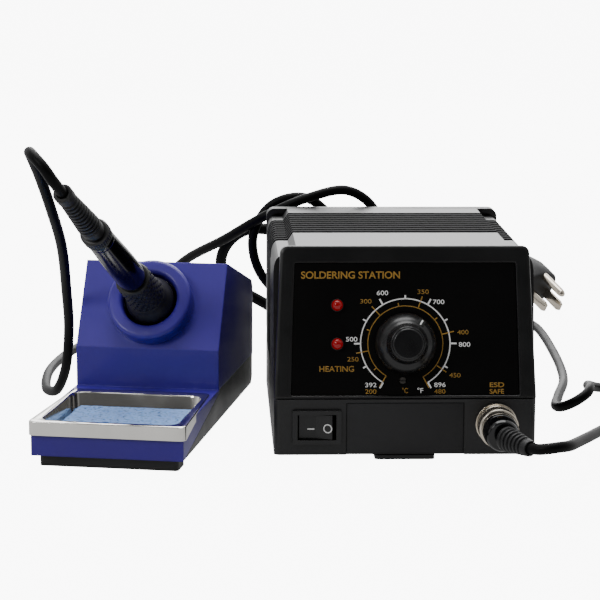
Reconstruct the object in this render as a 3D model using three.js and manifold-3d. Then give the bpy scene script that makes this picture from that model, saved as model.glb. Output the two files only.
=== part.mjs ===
// Soldering iron station: a control station, an iron stand with a sponge tray, the iron
// standing in it, and the leads of both. Millimetres, +Z up, +X to the right, +Y to the rear.
// The origin is the middle of the station's front foot, on the table.
import * as THREE from 'three';
import { mergeVertices } from 'three/addons/utils/BufferGeometryUtils.js';
import Module from 'manifold-3d';

const wasm = await Module();
wasm.setup();

// ---------------------------------------------------------------- driving dimensions
const gap = 0.3;                    // kept between pieces that touch
const rounds = 32;                  // facets of a large turned piece
const smallRounds = 18;             // facets of a small turned piece

// station case
const caseWidth = 119.6;
const caseDepth = 165;
const caseCorner = 3;
const baseBottomZ = 2.25;
const seamZ = 28;
const wall = 2.6;
const footDepth = 16;
const frontFootWidth = 27.5;
const frontY = -footDepth / 2;      // front plane of the case: the foot starts there
const rearY = frontY + caseDepth;
const rearFootWidth = 14;
const midPanelHalf = 27;
const midPanelRecess = 1;

// stepped top cover
const coverHeight = 66.6;            // flat top of the cover, above the seam
const plateauZ = seamZ + coverHeight;
const plateauInset = 10.6;           // case's side to the flat top's edge
const plateauHalf = caseWidth / 2 - plateauInset;
const ledgeDrop = 3.8;
const ledgeInset = 3.5;             // side wall to the ledge's outer edge
const shoulderDrop = 9;             // height of the rounded shoulder below the ledge
const ledgeSlope = 2.6;
const ribStartY = 66;
const ribCount = 9;
const ribPitch = 7.3;
const ribWidth = 3;
const ribDepth = 1.1;
const coverSlotWidth = 5;
const coverSlotDepth = 1.6;

// leaning front
const faceLean = THREE.MathUtils.degToRad(10.26);
const faceHeight = 70;
const faceTopInset = 2.9;            // case's side to the top of the face
const faceTopHalf = caseWidth / 2 - faceTopInset;
const bezelThick = 8;
const fasciaRecess = 0.6;
const fasciaThick = 2;
const openingBottomInset = 7.7;
const openingBottomHalf = caseWidth / 2 - openingBottomInset;
const openingTopInset = 6.5;
const openingTopHalf = faceTopHalf - openingTopInset;
const openingBottom = 1.8;
const openingTop = 62.2;
const bezelLip = 4;

// controls on the front
const knobV = 25.4;                 // height of the knob's axis above the seam, along the face
const knobRadius = 14;
const knobHeight = 16.5;
const knobCapRadius = 9;
const pointerAngle = THREE.MathUtils.degToRad(35);
const shaftRadius = 3;
const bushRadius = 4.6;
const potRadius = 12;
const potDepth = 9;
const ledU = -31;
const ledPowerV = 42.9;
const ledHeatingV = 25.3;
const ledRadius = 2.5;
const trimmerU = -1.2;
const trimmerV = 8.6;
const trimmerRadius = 1.6;

// rocker switch
const rockerX = -40.3;
const rockerZ = 15.4;
const rockerFrameWidth = 22.3;
const rockerFrameHeight = 15.7;
const rockerFrameThick = 1.6;
const rockerOpeningWidth = 17.6;
const rockerOpeningHeight = 11.7;
const rockerBodyWall = 1;
const rockerPivotDepth = 3;
const rockerTilt = THREE.MathUtils.degToRad(10);
const rockerValley = 0.14;          // slope of each half of the rocker's face

// output socket and the iron's connector
const socketX = 41.4;
const socketZ = 16.9;
const socketFlangeRadius = 9.5;
const socketFlangeThick = 2;
const socketSleeveRadius = 7;
const socketSleeve = 6;
const socketBoreRadius = 5.6;
const socketDepth = 14;
const ringLength = 10;
const ringWall = 1.7;
const plugBodyLength = 14;
const plugBodyRadius = 8;
const connectorBootLength = 19;
const connectorBootTurn = 0.5;      // sideways lean of the boot, per unit of its length

// rear
const glandX = 34;
const glandAbove = 16;               // above the seam
const glandZ = seamZ + glandAbove;
const glandRadius = 6;
const fuseX = 14;
const fuseAbove = 16;
const fuseZ = seamZ + fuseAbove;
const fuseRadius = 6;
const rearFrameDepth = 8;
const rearPlate = 3;

// inside the case
const coreSize = [57, 34, 48];
const coreX = 14;
const coreFromRear = 53;
const coreY = rearY - coreFromRear;
const boardSize = [92, 1.6, 52];
const boardBehind = 20;             // front of the board, behind the face

// stand
const standBeside = 75;              // stand's middle at its front, from the case's left side
const standX = -caseWidth / 2 - standBeside;
const standY = -25.1;
const standTurn = 0.1928;           // its depth axis leans to the right by this angle
const standHalf = 34.9;
const standDepth = 174;
const standBottomZ = 5.2;
const deckZ = 20.3;
const sheet = 1.6;
const hoodY = 82;
const hoodKinkZ = 39.5;
const hoodTopY = 105;
const hoodTopZ = 78;
const hoodRearZ = 58.6;
const hoodInset = 0.2;
const hoodRound = 3;

// collar and the tube behind it
const collarRadius = 20.4;
const collarHeight = 8.5;
const collarBore = 13.4;
const tubeWall = 1;
const tubeLength = 46;

// sponge tray and sponge
const trayTopZ = 21.4;
const trayMetal = 0.8;
const trayFrontHalf = 36;
const trayRearHalf = 33.3;
const trayFrontY = -1.6;
const trayRearY = 70;
const trayInnerHalf = 31;
const trayInnerFrontY = 2.4;
const trayInnerRearY = 63;
const trayCorner = 6;
const trayDepth = 12.4;
const trayLip = 6.6;
const spongeThick = 6;
const spongeMargin = 1.2;

// the iron, measured along its axis from the face of the collar, outwards positive
const ironLean = 0.107;             // sideways lean of the iron in the collar, per unit of length
const ironInside = 4.5;
const gripClearance = 1.5;           // grip's widest part in the collar
const gripFlareRadius = collarBore - gripClearance;
const gripRadius = 8.4;
const gripEnd = 26;
const barrelRadius = 7.1;
const barrelEndRadius = 6.1;
const barrelEnd = 77;
const nutRadius = 6.9;
const nutEnd = 83;
const bootRadius = 5.2;
const bootEndRadius = 3.9;
const bootEnd = 125;
const sleeveRadius = 3.6;
const sleeveLength = 46;
const tipNutRadius = 5.4;
const tipRadius = 3.2;
const tipLength = 17;

// leads
const ironCordRadius = 2.5;
const mainsCordRadius = 3;
const cordSides = 8;

// mains coil: a neat winding on the table behind the station
const coilCenter = [6, 222];
const coilMeanRadius = 33;
const coilTurnsWide = 3;
const coilTurnsHigh = 2;

// mains plug: it leans forward on its two blades, the earth pin on top
const plugFace = new THREE.Vector3(117.1, 375.3, 14.8);
const plugPins = new THREE.Vector3(0.483, -0.739, -0.469).normalize();
const plugTop = new THREE.Vector3(0.316, -0.352, 0.881);
const plugLength = 27;
const plugWidth = 24;
const plugHeight = 21;
const plugNeck = 12;
const plugNeckRadius = 5;
const bladeLength = 16.5;
const bladeWidth = 6.4;
const bladeThick = 1.6;
const bladePitch = 12.7;
const groundPinRadius = 2.4;
const groundPinLength = 20;
const groundPinOffset = 11.9;

// ---------------------------------------------------------------- routes of the leads
// the iron's lead: a bend at the top, down beside the stand and round behind it, a turn and a
// half over the station's rear edge, along the table to its right and forward to the connector
const ironCordUpper = [
  [-152.5, -44.7, 128.2], [-155.4, -48.9, 133.0], [-159.0, -49.4, 138.4], [-163.2, -45.9, 142.6],
  [-165.6, -39.6, 144.0],
];
const ironCordLower = [
  [-165.8, -32.2, 142.0], [-163.6, -15.0, 131.0], [-160.2, 6.0, 113.0], [-157.8, 34.0, 92.5],
  [-158.0, 66.0, 66.0], [-158.6, 88.0, 42.5], [-161.5, 102.0, 20.0], [-166.6, 114.0, 7.0],
  [-173.0, 132.0, 2.9], [-175.6, 176.0, 2.9], [-170.0, 222.0, 2.9], [-161.0, 250.0, 4.2],
  [-147.0, 264.0, 12.0], [-130.0, 256.0, 24.0], [-103.6, 207.0, 58.1], [-81.3, 180.0, 74.2],
  [-60.3, 165.5, 88.5], [-38.0, 163.0, 98.4], [-17.3, 164.0, 102.2], [-3.6, 165.2, 93.0],
  [1.5, 168.0, 69.0], [-15.0, 171.0, 44.5], [-41.0, 171.5, 39.5], [-61.5, 171.5, 55.5],
  [-66.6, 171.5, 76.0], [-57.0, 171.0, 93.4], [-39.0, 170.0, 97.6], [-23.0, 171.0, 84.0],
  [-10.0, 175.0, 50.0], [8.0, 176.0, 16.0], [36.0, 172.0, 4.0], [64.0, 188.0, 2.9],
  [76.0, 240.0, 2.9], [77.0, 307.0, 2.9], [80.6, 320.0, 2.9], [90.5, 325.5, 2.9],
  [100.4, 320.0, 2.9], [104.0, 307.0, 2.9], [103.6, 233.0, 2.9], [97.4, 152.0, 2.9],
  [88.5, 112.0, 2.9], [84.0, 88.0, 3.0], [86.4, 81.3, 4.4], [92.2, 78.5, 7.7],
  [98.1, 81.3, 11.1], [100.5, 88.0, 12.5], [103.5, 110.0, 9.0], [114.0, 130.0, 3.4],
  [125.0, 136.4, 2.9], [135.6, 129.0, 2.9], [137.4, 116.0, 2.9], [127.0, 82.0, 4.6],
  [106.0, 34.0, 8.0], [88.0, -6.0, 11.6], [75.5, -36.0, 15.0], [67.0, -55.9, 17.6],
  [63.4, -59.2, 18.0], [58.5, -60.2, 17.6], [53.9, -58.6, 16.8],
];

// the mains lead: from the gland round to the left in a loop behind the stand, to its coil
const mainsCordFirst = [
  [32.0, 188.0, 45.0], [18.0, 199.0, 50.0], [-6.0, 201.0, 59.0], [-34.0, 194.0, 71.0],
  [-58.0, 189.5, 78.0], [-70.0, 190.0, 77.5], [-79.6, 193.5, 70.0], [-83.4, 201.0, 57.5],
  [-76.5, 211.0, 44.5], [-60.0, 215.0, 33.5], [-41.0, 208.6, 23.6], [-26.0, 197.0, 15.8],
];
// and from the coil to the plug
const mainsCordLast = [
  [51.6, 228.0, 3.3], [51.2, 272.0, 3.3], [48.0, 324.0, 3.3], [45.6, 370.0, 3.8],
  [48.5, 400.0, 10.0], [61.0, 419.0, 24.0], [80.0, 424.0, 36.0],
];

// ---------------------------------------------------------------- materials
function finish(color, roughness, metalness = 0) {
  return new THREE.MeshStandardMaterial({ color, roughness, metalness });
}
const caseBlack = finish(0x1b1b1d, 0.5);
const panelBlack = finish(0x121214, 0.35);
const knobBlack = finish(0x161618, 0.4);
const rubberBlack = finish(0x17171a, 0.75);
const glossBlack = finish(0x0c0c10, 0.15);
const paintBlue = finish(0x2f2d86, 0.45);
const steel = finish(0xc9c7c2, 0.22, 1);
const nickel = finish(0xcfc8bd, 0.2, 1);
const brass = finish(0xb99a55, 0.3, 1);
const ledRed = finish(0x8a0f12, 0.15);
const white = finish(0xe8e8e6, 0.5);
const spongeBlue = finish(0x9dbbe6, 0.95);
const boardGreen = finish(0x2d5a36, 0.5);
const coreGrey = finish(0x55524e, 0.55, 0.7);
const tapeYellow = finish(0xc9a64a, 0.6);

// ---------------------------------------------------------------- solids
// a closed geometry as a solid: merged corners, no empty triangles, faces outwards
function solid(geometry) {
  geometry.deleteAttribute('normal');
  geometry.deleteAttribute('uv');
  const merged = mergeVertices(geometry, 1e-4);
  const corners = merged.attributes.position.array;
  const triangles = [];
  let volume = 0;
  for (let i = 0; i < merged.index.count; i += 3) {
    const [a, b, c] = [0, 1, 2].map((k) => merged.index.getX(i + k));
    if (a === b || b === c || c === a) continue;
    triangles.push(a, b, c);
    const [p, q, r] = [a, b, c].map((k) => new THREE.Vector3().fromArray(corners, 3 * k));
    volume += p.dot(q.cross(r));
  }
  if (volume < 0) {
    for (let i = 0; i < triangles.length; i += 3) {
      [triangles[i], triangles[i + 1]] = [triangles[i + 1], triangles[i]];
    }
  }
  const mesh = { numProp: 3, vertProperties: corners, triVerts: new Uint32Array(triangles) };
  return new wasm.Manifold(new wasm.Mesh(mesh));
}

function placed(geometry, basis, at) {
  const [x, y, z] = basis.map((v) => new THREE.Vector3(...v));
  return geometry.applyMatrix4(new THREE.Matrix4().makeBasis(x, y, z).setPosition(...at));
}

function box(x0, x1, y0, y1, z0, z1) {
  const geometry = new THREE.BoxGeometry(x1 - x0, y1 - y0, z1 - z0);
  return solid(geometry.translate((x0 + x1) / 2, (y0 + y1) / 2, (z0 + z1) / 2));
}

function outline(points) {
  return new THREE.Shape(points.map(([a, b]) => new THREE.Vector2(a, b)));
}

// a rectangle with round corners; radius may be 0
function roundedRectangle(x0, x1, y0, y1, radius) {
  const shape = new THREE.Shape();
  shape.moveTo(x0 + radius, y0);
  shape.lineTo(x1 - radius, y0);
  shape.absarc(x1 - radius, y0 + radius, radius, -Math.PI / 2, 0);
  shape.lineTo(x1, y1 - radius);
  shape.absarc(x1 - radius, y1 - radius, radius, 0, Math.PI / 2);
  shape.lineTo(x0 + radius, y1);
  shape.absarc(x0 + radius, y1 - radius, radius, Math.PI / 2, Math.PI);
  shape.lineTo(x0, y0 + radius);
  shape.absarc(x0 + radius, y0 + radius, radius, Math.PI, 1.5 * Math.PI);
  return shape;
}

const curveSegments = 6;

// shape in X and Y, raised from z0 to z1
function raised(shape, z0, z1) {
  const settings = { depth: z1 - z0, bevelEnabled: false, curveSegments };
  return solid(new THREE.ExtrudeGeometry(shape, settings).translate(0, 0, z0));
}

// shape in X and Z, drawn along Y from y0 to y1
function alongY(shape, y0, y1) {
  const settings = { depth: y1 - y0, bevelEnabled: false, curveSegments };
  const geometry = new THREE.ExtrudeGeometry(shape, settings);
  return solid(placed(geometry, [[1, 0, 0], [0, 0, 1], [0, -1, 0]], [0, y1, 0]));
}

// shape in Y and Z, drawn along X from x0 to x1
function alongX(shape, x0, x1) {
  const settings = { depth: x1 - x0, bevelEnabled: false, curveSegments };
  const geometry = new THREE.ExtrudeGeometry(shape, settings);
  return solid(placed(geometry, [[0, 1, 0], [0, 0, 1], [1, 0, 0]], [x0, 0, 0]));
}

// a turned piece: profile of [radius, distance], its axis along direction through at
function turned(profile, at, direction, segments = rounds) {
  const points = profile.map(([r, h]) => new THREE.Vector2(r, h));
  const geometry = new THREE.LatheGeometry(points, segments);
  const turn = new THREE.Quaternion().setFromUnitVectors(
    new THREE.Vector3(0, 1, 0), new THREE.Vector3(...direction).normalize());
  return solid(geometry.applyQuaternion(turn).translate(...at));
}

function rod(radius, h0, h1, at, direction, segments = smallRounds) {
  return turned([[0, h0], [radius, h0], [radius, h1], [0, h1]], at, direction, segments);
}

// a hexagon bar with a round hole, its axis along Y
function hexNut(acrossFlats, bore, at, thick) {
  const nut = turned([[0, 0], [acrossFlats / Math.sqrt(3), 0], [acrossFlats / Math.sqrt(3), thick],
    [0, thick]], at, [0, 1, 0], 6);
  return nut.subtract(rod(bore, -1, thick + 1, at, [0, 1, 0]));
}

const toFront = [0, -1, 0];
const toRear = [0, 1, 0];
const up = [0, 0, 1];

const station = new THREE.Group();
const face = new THREE.Group();
const stand = new THREE.Group();
const iron = new THREE.Group();
const model = new THREE.Group();
model.add(station, stand);
station.add(face);
stand.add(iron);
face.position.set(0, frontY, seamZ);
face.rotation.x = -faceLean;
stand.position.set(standX, standY, 0);
stand.rotation.z = -standTurn;

function add(group, name, shape, material) {
  const { vertProperties, triVerts, numProp } = shape.getMesh();
  const geometry = new THREE.BufferGeometry();
  const corners = new Float32Array((vertProperties.length / numProp) * 3);
  for (let i = 0; i < corners.length; i += 1) {
    corners[i] = vertProperties[Math.floor(i / 3) * numProp + (i % 3)];
  }
  geometry.setAttribute('position', new THREE.BufferAttribute(corners, 3));
  geometry.setIndex(new THREE.BufferAttribute(new Uint32Array(triVerts), 1));
  geometry.computeVertexNormals();
  const mesh = new THREE.Mesh(geometry, material);
  mesh.name = name;
  group.add(mesh);
  return mesh;
}

// ---------------------------------------------------------------- station: base housing
const half = caseWidth / 2;
const rockerHole = [rockerOpeningWidth / 2 + rockerBodyWall, rockerOpeningHeight / 2 + rockerBodyWall];

function baseHousing() {
  const plan = roundedRectangle(-half, half, frontY, rearY, caseCorner);
  const innerPlan = roundedRectangle(-half + wall, half - wall, frontY + wall, rearY - wall, caseCorner);
  let tub = raised(plan, baseBottomZ, seamZ);
  tub = tub.subtract(raised(innerPlan, baseBottomZ + wall, seamZ + 1));
  tub = tub.subtract(box(-midPanelHalf, midPanelHalf, frontY - 1, frontY + midPanelRecess,
    baseBottomZ - 1, seamZ - 1.5));
  tub = tub.subtract(box(rockerX - rockerHole[0] - gap, rockerX + rockerHole[0] + gap,
    frontY - 1, frontY + wall + 1, rockerZ - rockerHole[1] - gap, rockerZ + rockerHole[1] + gap));
  return tub.subtract(rod(socketSleeveRadius + 0.5 + gap, -1, wall + 1, [socketX, frontY, socketZ],
    toRear, rounds));
}
add(station, 'base_housing', baseHousing(), caseBlack);

function foot(x, width, y0) {
  return raised(roundedRectangle(x - width / 2, x + width / 2, y0, y0 + footDepth, 2),
    0, baseBottomZ - gap);
}
add(station, 'front_foot', foot(0, frontFootWidth, frontY), rubberBlack);
const rearFootX = half - rearFootWidth / 2 - 4;
const rearFootY = rearY - footDepth - 4;
add(station, 'rear_foot_left', foot(-rearFootX, rearFootWidth, rearFootY), rubberBlack);
add(station, 'rear_foot_right', foot(rearFootX, rearFootWidth, rearFootY), rubberBlack);

// ---------------------------------------------------------------- station: top cover
const ledgeZ = plateauZ - ledgeDrop;
const ledgeHalf = half - ledgeInset;
const coverRearY = rearY - rearFrameDepth - gap;

// outer or inner section of the cover, brought in by inset
function coverSection(inset, bottom) {
  const shape = new THREE.Shape();
  const x = half - inset;
  const top = plateauZ - inset;
  const ledge = ledgeZ - inset;
  const points = [[-x, bottom], [x, bottom], [x, ledge - shoulderDrop + inset]];
  points.forEach(([a, b], i) => (i ? shape.lineTo(a, b) : shape.moveTo(a, b)));
  shape.quadraticCurveTo(x, ledge, ledgeHalf - inset, ledge);
  shape.lineTo(plateauHalf + ledgeSlope - inset, ledge);
  shape.lineTo(plateauHalf - inset, top);
  shape.lineTo(-plateauHalf + inset, top);
  shape.lineTo(-plateauHalf - ledgeSlope + inset, ledge);
  shape.lineTo(-ledgeHalf + inset, ledge);
  shape.quadraticCurveTo(-x, ledge, -x, ledge - shoulderDrop + inset);
  return shape;
}

// everything in front of a plane parallel to the leaning face, at a distance behind it
function frontCut(behind) {
  const cut = new THREE.BoxGeometry(4 * caseWidth, caseWidth, 4 * caseWidth);
  cut.translate(0, behind - caseWidth / 2, 0);
  cut.rotateX(-faceLean);
  return solid(cut.translate(0, frontY, seamZ));
}

function topCover() {
  let shell = alongY(coverSection(0, seamZ + gap), frontY, coverRearY);
  shell = shell.subtract(alongY(coverSection(wall, seamZ - 1), frontY - 1, coverRearY + 1));
  shell = shell.subtract(frontCut(bezelThick + gap));
  const skin = alongY(coverSection(-1, ledgeZ - shoulderDrop), frontY, rearY);
  const crossCut = (y0, y1, depth) => skin.intersect(
    box(-caseWidth, caseWidth, y0, y1, 0, 2 * plateauZ)).subtract(
    alongY(coverSection(depth, ledgeZ - 2 * shoulderDrop), frontY, rearY));
  shell = shell.subtract(crossCut(ribStartY - coverSlotWidth, ribStartY, coverSlotDepth));
  for (let i = 0; i < ribCount; i += 1) {
    const y = ribStartY + (i + 1) * ribPitch - ribWidth;
    shell = shell.subtract(crossCut(y, y + ribWidth, ribDepth));
  }
  return shell;
}
add(station, 'top_cover', topCover(), caseBlack);

// ---------------------------------------------------------------- station: rear panel
function rearPanel() {
  const frame = roundedRectangle(-half, half, seamZ + gap, plateauZ, 4);
  const inside = roundedRectangle(-half + wall, half - wall, seamZ + gap + wall, plateauZ - wall, 3);
  const y0 = rearY - rearFrameDepth;
  let panel = alongY(frame, y0, rearY).subtract(alongY(inside, y0 - 1, rearY - rearPlate));
  panel = panel.subtract(rod(glandRadius + gap, -1, rearPlate + 1, [glandX, rearY - rearPlate, glandZ],
    toRear));
  return panel.subtract(rod(fuseRadius + gap, -1, rearPlate + 1, [fuseX, rearY - rearPlate, fuseZ],
    toRear));
}
add(station, 'rear_panel', rearPanel(), caseBlack);

// the gland: a flange inside, a round bush in the hole, a tapered sleeve outside
const glandSleeve = 22;
function mainsGland() {
  const bore = mainsCordRadius + gap;
  return turned([[bore, -rearPlate - 4], [glandRadius + 2, -rearPlate - 4],
    [glandRadius + 2, -rearPlate - gap], [glandRadius, -rearPlate - gap], [glandRadius, gap],
    [glandRadius + 2, gap], [glandRadius + 2, 3], [glandRadius - 0.6, 4.5],
    [mainsCordRadius + 1.6, glandSleeve], [bore, glandSleeve], [bore, -rearPlate - 4]],
  [glandX, rearY, glandZ], toRear, smallRounds);
}
add(station, 'mains_gland', mainsGland(), rubberBlack);

function fuseHolder() {
  return turned([[0, -26], [fuseRadius - 0.4, -26], [fuseRadius - 0.4, gap], [fuseRadius + 2, gap],
    [fuseRadius + 2, 2], [fuseRadius - 0.6, 2.6], [fuseRadius - 0.6, 11], [0, 11]],
  [fuseX, rearY, fuseZ], toRear, smallRounds);
}
add(station, 'fuse_holder', fuseHolder(), glossBlack);

// ---------------------------------------------------------------- station: leaning front
// in the face group X is across, Z goes up the face, Y goes into it
function trapezium(bottomHalf, topHalf, z0, z1) {
  return outline([[-bottomHalf, z0], [bottomHalf, z0], [topHalf, z1], [-topHalf, z1]]);
}

function frontBezel() {
  const frame = alongY(trapezium(half, faceTopHalf, gap, faceHeight), 0, bezelThick);
  const pocketDepth = fasciaRecess + fasciaThick + gap;
  const pocket = alongY(trapezium(openingBottomHalf, openingTopHalf, openingBottom, openingTop),
    -1, pocketDepth);
  const through = alongY(trapezium(openingBottomHalf - bezelLip, openingTopHalf - bezelLip,
    openingBottom + bezelLip, openingTop - bezelLip), 0, bezelThick + 1);
  return frame.subtract(pocket).subtract(through);
}

// the leaning bezel would dip under the seam at its rear: cut level with the seam
function levelCut() {
  const cut = new THREE.BoxGeometry(2 * caseWidth, caseWidth, caseWidth);
  cut.translate(0, 0, -caseWidth / 2);
  cut.rotateX(faceLean);
  return solid(cut.translate(0, 0, gap));
}
add(face, 'front_bezel', frontBezel().subtract(levelCut()), panelBlack);

const fasciaFrontY = fasciaRecess;
const fasciaRearY = fasciaRecess + fasciaThick;

function fasciaPanel() {
  let plate = alongY(trapezium(openingBottomHalf - gap, openingTopHalf - gap, openingBottom + gap,
    openingTop - gap), fasciaFrontY, fasciaRearY);
  const holes = [[0, knobV, bushRadius + gap], [ledU, ledPowerV, ledRadius + gap],
    [ledU, ledHeatingV, ledRadius + gap], [trimmerU, trimmerV, trimmerRadius + gap]];
  for (const [u, v, radius] of holes) {
    plate = plate.subtract(rod(radius, -1, fasciaThick + 1, [u, fasciaFrontY, v], toRear));
  }
  return plate;
}
add(face, 'fascia_panel', fasciaPanel(), panelBlack);

// LEDs: a dome in front, a flange behind the panel
function led(v) {
  const tip = 2.2;
  const dome = [0, 1, 2, 3, 4].map((i) => {
    const turn = (i / 4) * Math.PI / 2;
    return [ledRadius * Math.cos(turn), tip + ledRadius * 0.8 * Math.sin(turn)];
  });
  const back = -fasciaThick - gap;
  return turned([[0, back - 4], [ledRadius + 0.5, back - 4], [ledRadius + 0.5, back],
    [ledRadius, back], ...dome.slice(0, 4), [0, dome[4][1]]], [ledU, fasciaFrontY, v], toFront,
  smallRounds);
}
add(face, 'led_power', led(ledPowerV), ledRed);
add(face, 'led_heating', led(ledHeatingV), ledRed);

// the potentiometer: threaded bush through the panel, round case behind it
function potentiometer() {
  const bore = shaftRadius + gap;
  const back = -fasciaThick - gap;
  return turned([[bore, back - potDepth - 1], [potRadius, back - potDepth - 1], [potRadius, back],
    [bushRadius, back], [bushRadius, 3], [bore, 3], [bore, back - potDepth - 1]],
  [0, fasciaFrontY, knobV], toFront);
}
add(face, 'potentiometer', potentiometer(), coreGrey);
add(face, 'potentiometer_nut',
  hexNut(12, bushRadius + gap, [0, fasciaFrontY - gap - 2, knobV], 2), nickel);

const knobFoot = 0.8;               // clearance of the knob's skirt from the panel
const knobBoreDepth = 13;
function shaft() {
  return rod(shaftRadius, -fasciaThick - potDepth + 1, knobBoreDepth, [0, fasciaFrontY, knobV], toFront);
}
add(face, 'potentiometer_shaft', shaft(), steel);

// the knob: a domed skirt, a hollow shoulder, a raised grip with a flat front
const pointerSize = [1.3, 5.2, 1.1];
const pointerAt = 10.6;
function pointerBox(grow) {
  const [w, l, h] = pointerSize;
  const geometry = new THREE.BoxGeometry(w + 2 * grow, h + 2 * grow, l + 2 * grow);
  geometry.translate(0, fasciaFrontY - knobHeight * 0.47, pointerAt);
  geometry.rotateY(pointerAngle);
  return solid(geometry.translate(0, 0, knobV));
}

function knob() {
  const rim = knobRadius;
  const profile = [[rim, knobFoot], [rim, knobFoot + 1.6], [rim - 0.7, 4.4], [rim - 2.2, 6.6], [rim - 3.6, 8.4], [knobCapRadius + 0.4, 10.6],
    [knobCapRadius, 13], [knobCapRadius - 0.3, knobHeight - 1.4], [knobCapRadius - 1.4, knobHeight - 1.4],
    [0, knobHeight - 1.4], [0, knobBoreDepth + gap], [shaftRadius + gap, knobBoreDepth + gap],
    [shaftRadius + gap, 5], [shaftRadius + 2.6, 5], [shaftRadius + 5.2, 3.6], [shaftRadius + 5.2, knobFoot]];
  return turned([...profile, profile[0]], [0, fasciaFrontY, knobV], toFront).subtract(pointerBox(gap));
}
add(face, 'temperature_knob', knob(), knobBlack);
add(face, 'knob_pointer', pointerBox(0), white);
add(face, 'knob_cap', turned([[0, 0], [knobCapRadius - 0.9, 0], [knobCapRadius - 0.9, 0.7],
  [knobCapRadius - 1.7, 1.4], [0, 1.4]], [0, fasciaFrontY - knobHeight + 1.4 - gap, knobV], toFront),
knobBlack);

// the calibration screw, reached through its hole in the panel
function calibrationScrew() {
  const screw = rod(trimmerRadius, -6, -0.4, [trimmerU, fasciaFrontY, trimmerV], toFront);
  const slot = box(trimmerU - trimmerRadius - 1, trimmerU + trimmerRadius + 1,
    fasciaFrontY, fasciaFrontY + 1.2, trimmerV - 0.35, trimmerV + 0.35);
  return screw.subtract(slot);
}
add(face, 'calibration_screw', calibrationScrew(), brass);

// ---------------------------------------------------------------- station: rocker switch
function rockerFrame() {
  const [bodyX, bodyZ] = rockerHole;
  const at = (w, h) => roundedRectangle(rockerX - w, rockerX + w, rockerZ - h, rockerZ + h, 1);
  let frame = alongY(at(rockerFrameWidth / 2, rockerFrameHeight / 2),
    frontY - rockerFrameThick - gap, frontY - gap);
  frame = frame.add(box(rockerX - bodyX, rockerX + bodyX, frontY - 1, frontY + 19,
    rockerZ - bodyZ, rockerZ + bodyZ));
  for (const x of [-5, 5]) {
    frame = frame.add(box(rockerX + x - 0.4, rockerX + x + 0.4, frontY + 18, frontY + 26,
      rockerZ - 2.4, rockerZ + 2.4));
  }
  return frame.subtract(box(rockerX - rockerOpeningWidth / 2, rockerX + rockerOpeningWidth / 2,
    frontY - 5, frontY + 13, rockerZ - rockerOpeningHeight / 2, rockerZ + rockerOpeningHeight / 2));
}
add(station, 'rocker_frame', rockerFrame(), panelBlack);

// the rocker: a slice of a drum about its pivot, with a shallow valley in its face
function rocker() {
  const radius = rockerOpeningWidth / 2 - gap;
  const drum = rod(radius, -rockerOpeningHeight / 2 + gap, rockerOpeningHeight / 2 - gap,
    [0, 0, 0], up, rounds);
  const front = outline([[-12, -2.6 - 12 * rockerValley], [0, -2.6], [12, -2.6 - 12 * rockerValley],
    [12, 3], [-12, 3]]);
  return drum.intersect(raised(front, -rockerOpeningHeight, rockerOpeningHeight));
}
const rockerMesh = add(station, 'rocker', rocker(), knobBlack);
rockerMesh.position.set(rockerX, frontY + rockerPivotDepth, rockerZ);
rockerMesh.rotation.z = -rockerTilt;

// ---------------------------------------------------------------- station: socket, connector
const socketAt = [socketX, frontY, socketZ];
function outputSocket() {
  const lead = socketFlangeThick + gap;
  return turned([[0, -socketDepth], [socketSleeveRadius + 0.5, -socketDepth],
    [socketSleeveRadius + 0.5, gap], [socketFlangeRadius, gap], [socketFlangeRadius, lead],
    [socketSleeveRadius, lead], [socketSleeveRadius, lead + socketSleeve],
    [socketBoreRadius, lead + socketSleeve], [socketBoreRadius, gap + 1], [0, gap + 1]],
  socketAt, toFront);
}
add(station, 'output_socket', outputSocket(), nickel);

const ringStart = socketFlangeThick + 2 * gap;
const ringEnd = ringStart + ringLength;
const ringBore = socketSleeveRadius + gap;
const lipBore = ringBore - 1.3;
const lipStart = ringEnd - 1.4;
function couplingRing() {
  const outer = ringBore + ringWall;
  const grooves = [];
  for (let h = ringStart + 2; h < ringEnd - 2.2; h += 2.5) {
    grooves.push([outer, h], [outer - 0.35, h + 0.5], [outer, h + 1]);
  }
  const profile = [[ringBore, ringStart], [outer - 0.4, ringStart], [outer, ringStart + 0.5],
    ...grooves, [outer, ringEnd - 0.5], [outer - 0.4, ringEnd], [lipBore, ringEnd],
    [lipBore, lipStart], [ringBore, lipStart], [ringBore, ringStart]];
  return turned(profile, socketAt, toFront);
}
add(station, 'coupling_ring', couplingRing(), nickel);

const plugEnd = ringEnd + gap + plugBodyLength;
function connectorPlug() {
  const collar = ringBore - gap;
  const sleeveEnd = socketFlangeThick + gap + socketSleeve;
  return turned([[0, gap + 2], [socketBoreRadius - gap, gap + 2],
    [socketBoreRadius - gap, sleeveEnd + gap], [collar, sleeveEnd + gap], [collar, lipStart - gap],
    [lipBore - gap, lipStart - gap], [lipBore - gap, ringEnd + gap], [plugBodyRadius, ringEnd + gap],
    [plugBodyRadius, ringEnd + 6], [plugBodyRadius - 0.5, ringEnd + 7],
    [plugBodyRadius - 1.2, plugEnd], [0, plugEnd]], socketAt, toFront);
}
add(station, 'connector_plug', connectorPlug(), glossBlack);

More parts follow.
